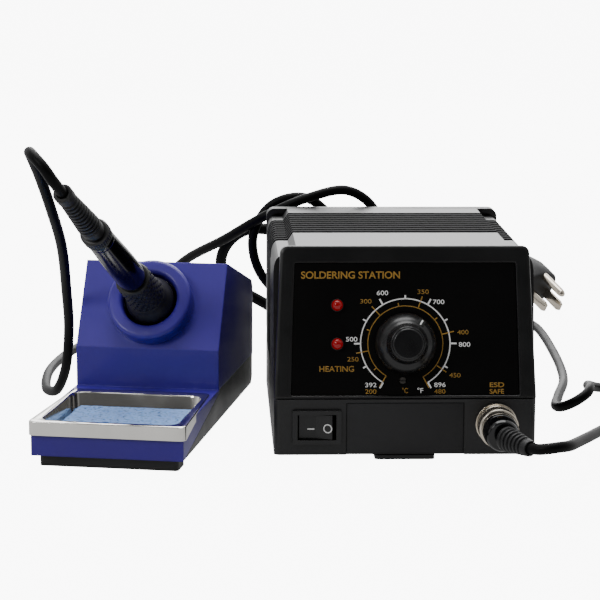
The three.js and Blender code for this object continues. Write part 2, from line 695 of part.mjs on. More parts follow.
// the ribbed boot leans to the right; the lead comes out of its end
const bootDirection = new THREE.Vector3(connectorBootTurn, -1, -0.04).normalize();
const bootStart = new THREE.Vector3(socketX + 0.8, frontY - plugEnd - 3.2, socketZ);
function connectorBoot() {
  const profile = [[ironCordRadius + gap, 0], [plugBodyRadius - 2, 0]];
  const ribs = 5;
  for (let i = 0; i < ribs; i += 1) {
    const h = 1 + (i * (connectorBootLength - 3)) / ribs;
    const r = plugBodyRadius - 1.4 - (i * 2) / ribs;
    profile.push([r, h], [r, h + 2.2], [r - 1.1, h + 2.6], [r - 1.1, h + 3.6]);
  }
  profile.push([5.2, connectorBootLength - 2], [4.4, connectorBootLength],
    [ironCordRadius + gap, connectorBootLength], [ironCordRadius + gap, 0]);
  return turned(profile, bootStart.toArray(), bootDirection.toArray(), smallRounds);
}
add(station, 'connector_boot', connectorBoot(), rubberBlack);

// ---------------------------------------------------------------- inside the station
const floorZ = baseBottomZ + wall;
const bracketThick = 1.5;
function transformer() {
  const [w, d, h] = coreSize;
  const z0 = floorZ + 2 * gap + bracketThick;
  const core = box(coreX - w / 2, coreX + w / 2, coreY - d / 2, coreY + d / 2, z0, z0 + h);
  const window = (x) => box(x - w / 12 - 2.5, x + w / 12 + 2.5, coreY - d, coreY + d,
    z0 + h / 6, z0 + (h * 5) / 6);
  const cut = core.subtract(window(coreX - w / 4)).subtract(window(coreX + w / 4));
  const reach = 9;
  const bobbin = box(coreX - w / 4 - 7 + gap, coreX + w / 4 + 7 - gap, coreY - d / 2 - reach,
    coreY + d / 2 + reach, z0 + h / 6 + gap, z0 + (h * 5) / 6 - gap);
  const limb = box(coreX - w / 4 + w / 12 + 2.5 - gap, coreX + w / 4 - w / 12 - 2.5 + gap,
    coreY - d / 2 - gap, coreY + d / 2 + gap, 0, 2 * h);
  add(station, 'transformer_core', cut, coreGrey);
  add(station, 'transformer_winding', bobbin.subtract(limb), tapeYellow);
  const plate = box(coreX - w / 2 - 8, coreX + w / 2 + 8, coreY - d / 2, coreY + d / 2,
    floorZ + gap, floorZ + gap + bracketThick);
  add(station, 'transformer_bracket', plate, steel);
}
transformer();

function circuitBoard() {
  const [w, d, h] = boardSize;
  const board = box(-w / 2, w / 2, boardBehind, boardBehind + d, 6, 6 + h);
  add(face, 'circuit_board', board, boardGreen);
  const behind = boardBehind + d + gap;
  add(face, 'smoothing_capacitor', rod(5, 0, 20, [22, behind, 40], toRear), glossBlack);
  let sink = box(-34, -14, behind, behind + 14, 20, 46);
  for (const x of [-31, -26.5, -22, -17.5]) {
    sink = sink.subtract(box(x, x + 2.4, behind + 2, behind + 15, 19, 47));
  }
  add(face, 'heat_sink', sink, coreGrey);
}
circuitBoard();

// ---------------------------------------------------------------- stand: base and cover
const hoodHalf = standHalf - hoodInset;

// plan of the tray's inside, or of something that much larger
const trayPlan = (grow) => roundedRectangle(-trayInnerHalf - grow, trayInnerHalf + grow,
  trayInnerFrontY - grow, trayInnerRearY + grow, trayCorner);

function standBase() {
  const inside = standHalf - sheet - gap;
  const tub = alongX(outline([[sheet + gap, standBottomZ], [sheet + gap, deckZ - sheet - gap],
    [hoodY + sheet + gap, deckZ - sheet - gap], [hoodY + sheet + gap, deckZ - gap],
    [standDepth, deckZ - gap],
    [standDepth, standBottomZ + 3], [standDepth - 3, standBottomZ]]), -hoodHalf, hoodHalf);
  const hollow = box(-inside + sheet, inside - sheet, sheet + gap + 2, standDepth - 2,
    standBottomZ + 1.6, deckZ + 1);
  // room for the cover's side flanges, which taper away towards the hood
  const flangeEnd = hoodY + sheet + gap;
  const flange = (x0, x1) => alongX(outline([[-1, standBottomZ - 1], [0, standBottomZ - 2 * gap],
    [flangeEnd, deckZ - sheet - 2 * gap], [flangeEnd, deckZ + 1], [-1, deckZ + 1]]), x0, x1);
  return tub.subtract(hollow)
    .subtract(raised(trayPlan(trayMetal + gap), trayTopZ - trayDepth - gap, deckZ + 1))
    .subtract(flange(-standHalf - 1, -inside))
    .subtract(flange(inside, standHalf + 1));
}
add(stand, 'stand_base', standBase(), caseBlack);

// side view of the cover: apron, flange that tapers away, hood floor line, rear, roof, slope, deck
const roofSlope = (hoodTopZ - hoodRearZ) / (standDepth - hoodTopY);
const slopeLength = Math.hypot(hoodTopY - hoodY, hoodTopZ - hoodKinkZ);
const slopeOut = [0, -(hoodTopZ - hoodKinkZ) / slopeLength, (hoodTopY - hoodY) / slopeLength];
const slopeMiddle = [0, (hoodY + hoodTopY) / 2, (hoodKinkZ + hoodTopZ) / 2];
const onSlope = (h) => slopeMiddle.map((c, i) => c + h * slopeOut[i]);

function standCover() {
  const side = outline([[0, standBottomZ], [hoodY + sheet, deckZ - sheet], [hoodY + sheet, deckZ],
    [standDepth, deckZ], [standDepth, hoodRearZ - hoodRound],
    [standDepth - hoodRound, hoodRearZ + hoodRound * roofSlope], [hoodTopY, hoodTopZ],
    [hoodY, hoodKinkZ], [hoodY, deckZ], [0, deckZ]]);
  const inner = outline([[sheet, 0], [sheet, deckZ - sheet], [hoodY + sheet, deckZ - sheet],
    [hoodY + sheet, hoodKinkZ - sheet * 0.35], [hoodTopY + sheet * 0.6, hoodTopZ - sheet * 1.25],
    [standDepth - hoodRound - sheet, hoodRearZ + hoodRound * roofSlope - sheet],
    [standDepth - sheet, hoodRearZ - hoodRound - sheet], [standDepth - sheet, 0]]);
  return alongX(side, -standHalf, standHalf)
    .subtract(alongX(inner, -standHalf + sheet, standHalf - sheet))
    .subtract(raised(trayPlan(trayMetal + gap), 0, deckZ + 1))
    .subtract(rod(collarBore + tubeWall + gap, -8, 4, slopeMiddle, slopeOut, rounds));
}

add(stand, 'stand_cover', standCover(), paintBlue);

const padFrontY = 3;
const padDepth = 14;
const padInset = 3;
add(stand, 'stand_pad', raised(roundedRectangle(-standHalf + padInset, standHalf - padInset, padFrontY,
  padFrontY + padDepth, 2), 0, standBottomZ - gap), rubberBlack);
const standFootRadius = 4.5;
for (const [name, side] of [['stand_foot_left', -1], ['stand_foot_right', 1]]) {
  const at = [side * (standHalf - 9), standDepth - 12, 0];
  const shape = turned([[0, 0], [standFootRadius - 0.6, 0], [standFootRadius, 0.8],
    [standFootRadius, standBottomZ - gap], [0, standBottomZ - gap]], at, up, smallRounds);
  add(stand, name, shape, rubberBlack);
}

// ---------------------------------------------------------------- stand: collar and tube
function collar() {
  const edge = 0.9;
  return turned([[collarBore, gap], [collarRadius, gap], [collarRadius, collarHeight - edge],
    [collarRadius - edge, collarHeight], [collarBore + edge, collarHeight],
    [collarBore, collarHeight - edge], [collarBore, gap]], slopeMiddle, slopeOut);
}
add(stand, 'holder_collar', collar(), paintBlue);

function holderTube() {
  return turned([[collarBore, -tubeLength], [collarBore + tubeWall, -tubeLength],
    [collarBore + tubeWall, 0], [collarBore, 0], [collarBore, -tubeLength]], slopeMiddle, slopeOut);
}
add(stand, 'holder_tube', holderTube(), steel);

// ---------------------------------------------------------------- stand: tray and sponge
function spongeTray() {
  const bottom = trayTopZ - trayDepth;
  const r = 3;
  const rim = new THREE.Shape();
  rim.moveTo(-trayFrontHalf + r, trayFrontY);
  rim.lineTo(trayFrontHalf - r, trayFrontY);
  rim.quadraticCurveTo(trayFrontHalf, trayFrontY, trayFrontHalf, trayFrontY + r);
  rim.lineTo(trayRearHalf, trayRearY - r);
  rim.quadraticCurveTo(trayRearHalf, trayRearY, trayRearHalf - r, trayRearY);
  rim.lineTo(-trayRearHalf + r, trayRearY);
  rim.quadraticCurveTo(-trayRearHalf, trayRearY, -trayRearHalf, trayRearY - r);
  rim.lineTo(-trayFrontHalf, trayFrontY + r);
  rim.quadraticCurveTo(-trayFrontHalf, trayFrontY, -trayFrontHalf + r, trayFrontY);
  let tray = raised(rim, trayTopZ - trayMetal, trayTopZ).add(raised(trayPlan(trayMetal), bottom, trayTopZ));
  // the front edge turns down in front of the apron
  const lip = raised(rim, trayTopZ - trayLip, trayTopZ).intersect(
    box(-trayFrontHalf, trayFrontHalf, trayFrontY, trayFrontY + 4.4, 0, trayTopZ));
  const behindLip = box(-standHalf - gap, standHalf + gap, -gap, hoodY, 0, trayTopZ - trayMetal);
  const behindFace = box(-trayFrontHalf + 2, trayFrontHalf - 2, -gap - 0.5, hoodY, 0, trayTopZ - trayMetal);
  tray = tray.add(lip.subtract(behindLip).subtract(behindFace));
  return tray.subtract(raised(trayPlan(0), bottom + trayMetal, trayTopZ + 1));
}
add(stand, 'sponge_tray', spongeTray(), steel);

const spongeBottom = trayTopZ - trayDepth + trayMetal + gap;
add(stand, 'sponge', raised(trayPlan(-spongeMargin), spongeBottom, spongeBottom + spongeThick), spongeBlue);

// ---------------------------------------------------------------- the iron
const ironOut = [-ironLean, slopeOut[1], slopeOut[2]];
iron.position.set(...onSlope(collarHeight));
const ironPiece = (profile, segments = rounds) => turned(profile, [0, 0, 0], ironOut, segments);

const gripBore = 5;
function grip() {
  return ironPiece([[gripBore, -ironInside], [gripFlareRadius - 1, -ironInside],
    [gripFlareRadius, -ironInside + 1], [gripFlareRadius, -1], [gripFlareRadius - 1, 1.2],
    [gripFlareRadius - 2.3, 5], [gripRadius + 0.7, 10], [gripRadius + 0.2, 18], [gripRadius, gripEnd - 0.6],
    [gripRadius - 0.6, gripEnd], [gripBore, gripEnd], [gripBore, -ironInside]]);
}
add(iron, 'iron_grip', grip(), rubberBlack);

function barrel() {
  const stub = gripBore - gap;
  return ironPiece([[0, 1 - ironInside], [stub, 1 - ironInside], [stub, gripEnd + gap],
    [barrelRadius - 0.6, gripEnd + gap], [barrelRadius, gripEnd + 1], [barrelRadius, gripEnd + 20],
    [barrelEndRadius, barrelEnd - gap], [0, barrelEnd - gap]]);
}
add(iron, 'iron_barrel', barrel(), glossBlack);
add(iron, 'iron_end_nut', ironPiece([[0, barrelEnd], [nutRadius - 0.5, barrelEnd],
  [nutRadius, barrelEnd + 0.6], [nutRadius, nutEnd - 1.2], [nutRadius - 0.9, nutEnd - gap],
  [0, nutEnd - gap]], smallRounds), panelBlack);

function ironBoot() {
  const profile = [[0, nutEnd], [bootRadius, nutEnd]];
  const ribs = 6;
  const first = nutEnd + 6;
  const pitch = (bootEnd - first - 6) / ribs;
  for (let i = 0; i < ribs; i += 1) {
    const h = first + i * pitch;
    const r = bootRadius - ((bootRadius - bootEndRadius) * (i + 1)) / (ribs + 1);
    profile.push([r + 0.4, h], [r + 0.3, h + pitch - 1.5], [r - 0.8, h + pitch - 1.4],
      [r - 0.8, h + pitch - 0.2]);
  }
  profile.push([bootEndRadius, bootEnd - 5], [bootEndRadius, bootEnd], [0, bootEnd]);
  return ironPiece(profile, smallRounds);
}
add(iron, 'iron_boot', ironBoot(), rubberBlack);

const tipNutEnd = -ironInside - 10;
const sleeveEnd = -ironInside - sleeveLength;
add(iron, 'tip_nut', ironPiece([[sleeveRadius + gap, -ironInside - gap], [tipNutRadius, -ironInside - gap],
  [tipNutRadius, tipNutEnd + 1], [tipNutRadius - 1, tipNutEnd], [sleeveRadius + gap, tipNutEnd],
  [sleeveRadius + gap, -ironInside - gap]], smallRounds), steel);
add(iron, 'heater_sleeve', ironPiece([[0, -ironInside + 1 - gap], [sleeveRadius, -ironInside + 1 - gap],
  [sleeveRadius, sleeveEnd], [0, sleeveEnd]], smallRounds), steel);
add(iron, 'soldering_tip', ironPiece([[0, sleeveEnd - gap], [tipRadius, sleeveEnd - gap],
  [tipRadius, sleeveEnd - 6], [tipRadius * 0.7, sleeveEnd - 8], [0.5, sleeveEnd - tipLength],
  [0, sleeveEnd - tipLength]], smallRounds), steel);

// ---------------------------------------------------------------- leads
model.updateMatrixWorld(true);
const toPoint = (p) => new THREE.Vector3(...p);

// a closed tube of the cord's section, one ring at each point of the route
function cordTube(points, radius) {
  const corners = [];
  const triangles = [];
  const side = new THREE.Vector3(0, 0, 1);
  points.forEach((point, i) => {
    const ahead = points[Math.min(i + 1, points.length - 1)];
    const along = ahead.clone().sub(points[Math.max(i - 1, 0)]).normalize();
    side.addScaledVector(along, -side.dot(along)).normalize();
    const other = new THREE.Vector3().crossVectors(along, side);
    for (let k = 0; k < cordSides; k += 1) {
      const turn = (2 * Math.PI * k) / cordSides;
      const corner = point.clone().addScaledVector(side, radius * Math.cos(turn));
      corners.push(...corner.addScaledVector(other, radius * Math.sin(turn)).toArray());
    }
  });
  const last = (points.length - 1) * cordSides;
  for (let k = 0; k < cordSides; k += 1) {
    const next = (k + 1) % cordSides;
    for (let ring = 0; ring < last; ring += cordSides) {
      const [a, b] = [ring + k, ring + next];
      triangles.push(a, b, b + cordSides, a, b + cordSides, a + cordSides);
    }
    if (k && next) triangles.push(0, next, k, last, last + k, last + next);
  }
  const geometry = new THREE.BufferGeometry();
  geometry.setAttribute('position', new THREE.Float32BufferAttribute(corners, 3));
  geometry.setIndex(triangles);
  return solid(geometry);
}

// the ends of the iron's lead, in model coordinates
const ironAxis = new THREE.Vector3(...ironOut).normalize();
const ironLeadExit = iron.localToWorld(ironAxis.clone().multiplyScalar(bootEnd + gap));
const connectorExit = bootStart.clone().addScaledVector(bootDirection, connectorBootLength + gap);
const upperPoints = [ironLeadExit, ...ironCordUpper.map(toPoint)];
// the lower part starts in line with the end of the upper part
const upperEnd = upperPoints.at(-1);
const seamAlong = upperEnd.clone().sub(upperPoints.at(-2)).normalize();
const seamPoints = [gap, 2].map((h) => upperEnd.clone().addScaledVector(seamAlong, h));
const lowerPoints = [...seamPoints, ...ironCordLower.map(toPoint), connectorExit];
add(model, 'iron_cord_upper', cordTube(upperPoints, ironCordRadius), rubberBlack);
add(model, 'iron_cord_lower', cordTube(lowerPoints, ironCordRadius), rubberBlack);

const glandExit = new THREE.Vector3(glandX, rearY + glandSleeve + gap, glandZ);
add(model, 'mains_cord_first', cordTube([glandExit, ...mainsCordFirst.map(toPoint)],
  mainsCordRadius), rubberBlack);

// the coil: a ring of the winding's outer shape
function mainsCoil() {
  const reach = coilTurnsWide * mainsCordRadius;
  const top = gap + coilTurnsHigh * 2 * mainsCordRadius;
  return turned([[coilMeanRadius - reach, gap], [coilMeanRadius + reach, gap],
    [coilMeanRadius + reach, top], [coilMeanRadius - reach, top], [coilMeanRadius - reach, gap]],
  [...coilCenter, 0], up);
}
add(model, 'mains_coil', mainsCoil(), rubberBlack);

// the plug: in its own group, pins along Z, earth pin towards Y
const plug = new THREE.Group();
model.add(plug);
const plugUp = plugTop.clone().addScaledVector(plugPins, -plugTop.dot(plugPins)).normalize();
const plugAcross = new THREE.Vector3().crossVectors(plugUp, plugPins);
plug.quaternion.setFromRotationMatrix(new THREE.Matrix4().makeBasis(plugAcross, plugUp, plugPins));
plug.position.copy(plugFace);
const pinRoot = 1;

function plugBody() {
  const [w, h] = [plugWidth / 2, plugHeight / 2];
  const shape = new THREE.Shape();
  const flat = 0.3 * h;
  shape.moveTo(-w, -h + 5);
  shape.quadraticCurveTo(-w, -h, -w + 5, -h);
  shape.lineTo(w - 5, -h);
  shape.quadraticCurveTo(w, -h, w, -h + 5);
  shape.lineTo(w, flat);
  shape.quadraticCurveTo(w, h, 0, h + 1.5);
  shape.quadraticCurveTo(-w, h, -w, flat);
  let body = raised(shape, -plugLength * 0.6, 0);
  const taper = turned([[0, -plugLength], [plugNeckRadius + 2, -plugLength],
    [plugHeight / 2 - 1, -plugLength * 0.6 + 0.01], [0, -plugLength * 0.6 + 0.01]], [0, 0, 0], up, smallRounds);
  const neck = turned([[mainsCordRadius + gap, -plugLength - plugNeck],
    [mainsCordRadius + 1.4, -plugLength - plugNeck], [plugNeckRadius, -plugLength + 0.01],
    [0, -plugLength + 0.01], [0, -plugLength - 1],
    [mainsCordRadius + gap, -plugLength - 1], [mainsCordRadius + gap, -plugLength - plugNeck]],
  [0, 0, 0], up, smallRounds);
  body = body.add(taper).add(neck);
  for (const x of [-bladePitch / 2, bladePitch / 2]) {
    body = body.subtract(box(x - bladeThick / 2 - gap, x + bladeThick / 2 + gap,
      bladeY - bladeWidth / 2 - gap, bladeY + bladeWidth / 2 + gap, -pinRoot - gap, 1));
  }
  return body.subtract(rod(groundPinRadius + gap, -pinRoot - gap, 1, [0, groundY, 0], up));
}
const bladeY = -groundPinOffset / 3;
const groundY = (2 * groundPinOffset) / 3;
add(plug, 'mains_plug', plugBody(), rubberBlack);
for (const [name, x] of [['plug_blade_left', -bladePitch / 2], ['plug_blade_right', bladePitch / 2]]) {
  const blade = box(x - bladeThick / 2, x + bladeThick / 2, bladeY - bladeWidth / 2,
    bladeY + bladeWidth / 2, -pinRoot, bladeLength);
  add(plug, name, blade, nickel);
}
const groundPin = turned([[0, -pinRoot], [groundPinRadius, -pinRoot],
  [groundPinRadius, groundPinLength - 1.6], [groundPinRadius - 1.4, groundPinLength],
  [0, groundPinLength]], [0, groundY, 0], up, smallRounds);
add(plug, 'plug_earth_pin', groundPin, nickel);

plug.updateMatrixWorld(true);
const plugLeadEnd = plug.localToWorld(new THREE.Vector3(0, 0, -plugLength - plugNeck - gap));
add(model, 'mains_cord_last', cordTube([...mainsCordLast.map(toPoint), plugLeadEnd],
  mainsCordRadius), rubberBlack);

export default model;
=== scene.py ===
# %% [markdown]
# # A soldering iron station
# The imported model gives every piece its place. This script rebuilds the pieces that show with
# finer meshes, gives each one a procedural material, and sets the camera and a soft studio.
# Lengths in the lists below are millimetres in the model's frame: +Z up, +Y to the rear.

# %% load the frame
import bpy
import bmesh
from math import sin, cos, pi, radians, sqrt
from mathutils import Matrix, Vector, noise


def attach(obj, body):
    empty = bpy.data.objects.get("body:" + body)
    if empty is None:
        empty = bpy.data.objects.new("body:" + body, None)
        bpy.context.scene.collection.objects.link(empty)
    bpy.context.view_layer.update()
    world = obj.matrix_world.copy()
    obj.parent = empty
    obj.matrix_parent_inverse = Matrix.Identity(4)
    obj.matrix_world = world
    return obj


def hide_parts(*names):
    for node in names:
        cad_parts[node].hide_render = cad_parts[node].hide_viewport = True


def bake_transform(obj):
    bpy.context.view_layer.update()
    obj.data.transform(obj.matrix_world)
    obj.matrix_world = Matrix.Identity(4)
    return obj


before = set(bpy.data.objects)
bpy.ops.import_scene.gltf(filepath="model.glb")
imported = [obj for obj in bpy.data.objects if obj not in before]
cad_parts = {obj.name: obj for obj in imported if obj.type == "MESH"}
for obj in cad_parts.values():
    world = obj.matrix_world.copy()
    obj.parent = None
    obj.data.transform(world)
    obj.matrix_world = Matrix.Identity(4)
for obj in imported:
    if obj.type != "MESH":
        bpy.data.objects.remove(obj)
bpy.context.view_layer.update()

# %% [markdown]
# ## Camera
# The camera stands low in front of the set and a little to its left, with a long lens, so the
# station's front is nearly square on and the stand is seen slightly from its right.

# %% camera
camera_data = bpy.data.cameras.new("camera")
camera_data.lens = 133.0
camera_data.sensor_width = 36.0
camera_data.clip_end = 20.0
camera = bpy.data.objects.new("camera", camera_data)
bpy.context.scene.collection.objects.link(camera)
bpy.context.scene.camera = camera
PITCH = 0.1730
YAW = -0.0376
ROLL = 0.0046
forward = Vector((-sin(YAW) * cos(PITCH), cos(YAW) * cos(PITCH), -sin(PITCH)))
right = Vector((cos(YAW), sin(YAW), 0.0))
upward = right.cross(forward)
right_rolled = cos(ROLL) * right + sin(ROLL) * upward
up_rolled = -sin(ROLL) * right + cos(ROLL) * upward
camera.matrix_world = Matrix.Translation((-0.08515, -0.98975, 0.24565)) @ Matrix(
    (right_rolled, up_rolled, -forward)).transposed().to_4x4()
print("camera", [round(v, 3) for v in camera.location])

# %% [markdown]
# ## Frames of the parts
# The leaning front, the turned stand, the collar, the iron and the plug each have a frame of
# their own. A mesh is made in its frame in millimetres and written out in metres.

# %% part frames
MM = Matrix.Scale(0.001, 4)
LEAN = radians(10.26)
STATION = Matrix.Identity(4)
FACE = Matrix.Translation((0, -8, 28)) @ Matrix.Rotation(-LEAN, 4, "X")
STAND = Matrix.Translation((-134.8, -25.1, 0)) @ Matrix.Rotation(-0.1928, 4, "Z")


def along(origin, direction, base=STATION):
    """A frame at origin whose Z axis points along direction."""
    z = Vector(direction).normalized()
    turn = z.to_track_quat("Z", "Y").to_matrix().to_4x4()
    return base @ Matrix.Translation(origin) @ turn


SLOPE_OUT = Vector((0, -38.5, 23.0)).normalized()
SLOPE_MIDDLE = Vector((0, 93.5, 58.75))
COLLAR = along(SLOPE_MIDDLE, SLOPE_OUT, STAND)
IRON = along(SLOPE_MIDDLE + 8.5 * SLOPE_OUT, (-0.107, SLOPE_OUT.y, SLOPE_OUT.z), STAND)
KNOB_V = 25.4
KNOB = along((0, 0.6, KNOB_V), (0, -1, 0), FACE)
SOCKET = along((41.4, -8, 16.9), (0, -1, 0))
plug_pins = Vector((0.483, -0.739, -0.469)).normalized()
plug_top = Vector((0.316, -0.352, 0.881))
plug_up = (plug_top - plug_pins * plug_top.dot(plug_pins)).normalized()
plug_across = plug_up.cross(plug_pins)
PLUG = Matrix.Translation((117.1, 375.3, 14.8)) @ Matrix(
    (plug_across, plug_up, plug_pins)).transposed().to_4x4()
print("iron axis", [round(v, 3) for v in IRON.to_3x3().col[2]])

# %% [markdown]
# ## Materials
# One builder makes every opaque material: a base colour, broad variation in tone and gloss, a
# fine grain in relief, rounded and slightly worn edges. The grain's size is in millimetres.

# %% material builder
def linear(code):
    """An sRGB hex colour as linear RGBA."""
    values = [int(code[i:i + 2], 16) / 255 for i in (0, 2, 4)]
    return [v / 12.92 if v < 0.04045 else ((v + 0.055) / 1.055) ** 2.4 for v in values] + [1.0]


def node(tree, kind, links=None, **settings):
    """Adds a node; links holds socket values, or output sockets to connect."""
    made = tree.nodes.new(kind)
    for key, value in settings.items():
        setattr(made, key, value)
    for key, value in (links or {}).items():
        if isinstance(value, bpy.types.NodeSocket):
            tree.links.new(value, made.inputs[key])
        else:
            made.inputs[key].default_value = value
    return made


def surface(name, color, rough, grain=0.4, depth=0.01, metallic=0.0, variation=0.06,
            patch=18.0, edge=0.35, wear=0.25, coat=0.0, extra=None):
    material = bpy.data.materials.new(name)
    material.use_nodes = True
    tree = material.node_tree
    shader = tree.nodes["Principled BSDF"]
    place = node(tree, "ShaderNodeTexCoord").outputs["Object"]
    fine = node(tree, "ShaderNodeTexNoise", {"Vector": place, "Scale": 1000 / grain, "Detail": 3.0})
    broad = node(tree, "ShaderNodeTexNoise", {"Vector": place, "Scale": 1000 / patch, "Detail": 4.0})
    rounded = node(tree, "ShaderNodeBevel", {"Radius": edge / 1000}, samples=4)
    flat = node(tree, "ShaderNodeNewGeometry").outputs["Normal"]
    facing = node(tree, "ShaderNodeVectorMath", {0: rounded.outputs["Normal"], 1: flat},
                  operation="DOT_PRODUCT")
    edges = node(tree, "ShaderNodeMapRange", {"Value": facing.outputs["Value"], "From Min": 0.995,
                                              "From Max": 0.93, "To Min": 0.0, "To Max": wear})
    worn = node(tree, "ShaderNodeMath", {0: edges.outputs["Result"], 1: broad.outputs["Fac"]},
                operation="MULTIPLY")
    base = linear(color)
    light = [min(1.0, v * (1 + 4 * variation)) for v in base[:3]] + [1.0]
    dark = [v * (1 - 3 * variation) for v in base[:3]] + [1.0]
    tone = node(tree, "ShaderNodeMix", {"Factor": broad.outputs["Fac"], 6: dark, 7: light},
                data_type="RGBA")
    bright = [min(1.0, v * 2.5 + 0.02) for v in base[:3]] + [1.0]
    final = node(tree, "ShaderNodeMix", {"Factor": worn.outputs["Value"], 6: tone.outputs[2],
                                         7: bright}, data_type="RGBA")
    gloss = node(tree, "ShaderNodeMapRange", {"Value": broad.outputs["Fac"], "From Min": 0.3,
                                              "From Max": 0.7, "To Min": max(0.02, rough - variation),
                                              "To Max": rough + variation})
    relief = node(tree, "ShaderNodeBump", {"Height": fine.outputs["Fac"], "Distance": depth / 1000,
                                           "Strength": 1.0, "Normal": rounded.outputs["Normal"]})
    tree.links.new(final.outputs[2], shader.inputs["Base Color"])
    tree.links.new(gloss.outputs["Result"], shader.inputs["Roughness"])
    tree.links.new(relief.outputs["Normal"], shader.inputs["Normal"])
    shader.inputs["Metallic"].default_value = metallic
    shader.inputs["Coat Weight"].default_value = coat
    shader.inputs["Coat Roughness"].default_value = 0.08
    for key, value in (extra or {}).items():
        shader.inputs[key].default_value = value
    return material


# %% [markdown]
# The case is fine-textured black ABS, the fascia a smooth satin decal, the stand blue enamel with
# an orange-peel grain, the tray drawn stainless steel, the leads PVC and silicone.

# %% materials
case_abs = surface("abs_textured_black", "0f0f11", 0.4, 0.35, 0.03, variation=0.05, wear=0.5)
bezel_abs = surface("abs_satin_black", "0b0b0c", 0.34, 0.3, 0.012, variation=0.05, edge=0.5, wear=0.6)
decal = surface("polycarbonate_decal_black", "060505", 0.45, 0.6, 0.012, variation=0.05, patch=30,
                extra={"Specular IOR Level": 0.1})
panel_abs = surface("abs_recessed_grey", "1d1d1f", 0.6, 0.3, 0.03, variation=0.05)
knob_abs = surface("abs_moulded_knob", "0c0c0e", 0.27, 0.25, 0.006, variation=0.06, wear=0.5)
switch_pbt = surface("pbt_switch_black", "0e0e10", 0.34, 0.4, 0.004, variation=0.05, wear=0.6)
rubber = surface("rubber_moulded_black", "0f0f11", 0.5, 0.3, 0.02, variation=0.08, wear=0.4)
gloss = surface("phenolic_polished_black", "040406", 0.13, 0.8, 0.002, variation=0.03, wear=0.0)
nylon = surface("nylon_satin_black", "0d0d0f", 0.38, 0.3, 0.006, variation=0.05)
silicone = surface("silicone_cord_black", "070708", 0.42, 0.5, 0.004, variation=0.06, patch=40,
                   extra={"Specular IOR Level": 0.1})
pvc = surface("pvc_cord_black", "070708", 0.46, 0.5, 0.004, variation=0.06, patch=40,
              extra={"Specular IOR Level": 0.1})
enamel = surface("enamel_stoved_blue", "341f97", 0.42, 0.6, 0.03, variation=0.04, patch=25,
                 edge=0.9, wear=0.3, coat=0.15)
stainless = surface("stainless_drawn", "dcdad5", 0.13, 1.2, 0.004, 1.0, variation=0.06, edge=0.3)
nickel = surface("nickel_plated_brass", "d2c9ba", 0.2, 0.8, 0.003, 1.0, variation=0.05)
brass = surface("brass_turned", "b8913f", 0.3, 0.4, 0.004, 1.0)
zinc = surface("steel_zinc_plated", "a9a9a4", 0.34, 0.6, 0.004, 1.0)
core_steel = surface("steel_laminated_core", "4f4c49", 0.5, 0.5, 0.02, 0.8)
aluminium = surface("aluminium_extruded", "9a9b9d", 0.35, 0.4, 0.006, 1.0)
board_green = surface("fibreglass_lacquered", "1f5230", 0.35, 0.6, 0.01)
tape = surface("polyester_tape_yellow", "cfa43c", 0.45, 0.8, 0.01)
# flat black for painted shade: the gap before the ribs, the knob's notch and the rings round the lamps
shade_black = surface("black_painted_shade", "030303", 0.7, 0.3, 0.01, variation=0.02, wear=0.0)
# the white ink is given a faint glow, painted light that keeps it white
white_ink_glow = surface("ink_screened_white_glowing", "fafaf8", 0.5, 0.3, 0.002, variation=0.01,
                    extra={"Emission Color": (1, 1, 1, 1), "Emission Strength": 0.12})
gold_ink = surface("ink_screened_gold", "b98d3c", 0.42, 0.2, 0.004, variation=0.08, patch=3)
# the unlit lamp lenses are given a faint red glow, painted light
lens = surface("epoxy_clear_red_glowing", "6e0004", 0.1, 0.8, 0.001, variation=0.03, wear=0.0,
               extra={"IOR": 1.5, "Emission Color": (0.45, 0.0, 0.004, 1), "Emission Strength": 0.3})

# the cover is the same plastic, dull between its ribs' ends
cover_abs = surface("abs_textured_cover", "0f0f11", 0.4, 0.35, 0.03, variation=0.05, wear=0.5)
cover_tree = cover_abs.node_tree
cover_place = node(cover_tree, "ShaderNodeTexCoord").outputs["Object"]
cover_y = node(cover_tree, "ShaderNodeSeparateXYZ", {0: cover_place}).outputs["Y"]
RIBS_MIDDLE, RIBS_HALF = 0.099, 0.0335
ribbed = node(cover_tree, "ShaderNodeMath", {0: cover_y, 1: RIBS_MIDDLE, 2: RIBS_HALF},
              operation="COMPARE")
sheen = node(cover_tree, "ShaderNodeMapRange", {"Value": ribbed.outputs["Value"], "To Min": 0.5,
                                                "To Max": 0.12})
dull = node(cover_tree, "ShaderNodeMapRange", {"Value": ribbed.outputs["Value"], "To Min": 0.38,
                                               "To Max": 0.8})
cover_shader = cover_tree.nodes["Principled BSDF"]
cover_tree.links.new(sheen.outputs["Result"], cover_shader.inputs["Specular IOR Level"])
cover_tree.links.new(dull.outputs["Result"], cover_shader.inputs["Roughness"])
print("materials", len(bpy.data.materials))

# %% [markdown]
# ## Mesh helpers
# `piece` turns a mesh into a finished object. `lathe` spins a profile of (radius, height) pairs
# with rounded corners. `loft` joins rings of equal length. `prism` raises an outline.

# %% mesh helpers
def piece(name, mesh, material, body, nodes=(), place=STATION, angle=38):
    bmesh.ops.transform(mesh, matrix=MM @ place, verts=mesh.verts)
    bmesh.ops.recalc_face_normals(mesh, faces=mesh.faces)
    data = bpy.data.meshes.new(name)
    mesh.to_mesh(data)
    mesh.free()
    data.materials.append(material)
    data.polygons.foreach_set("use_smooth", [True] * len(data.polygons))
    data.set_sharp_from_angle(angle=radians(angle))
    made = bpy.data.objects.new(name, data)
    bpy.context.scene.collection.objects.link(made)
    if body:
        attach(made, body)
    if nodes:
        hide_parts(*nodes)
    return made


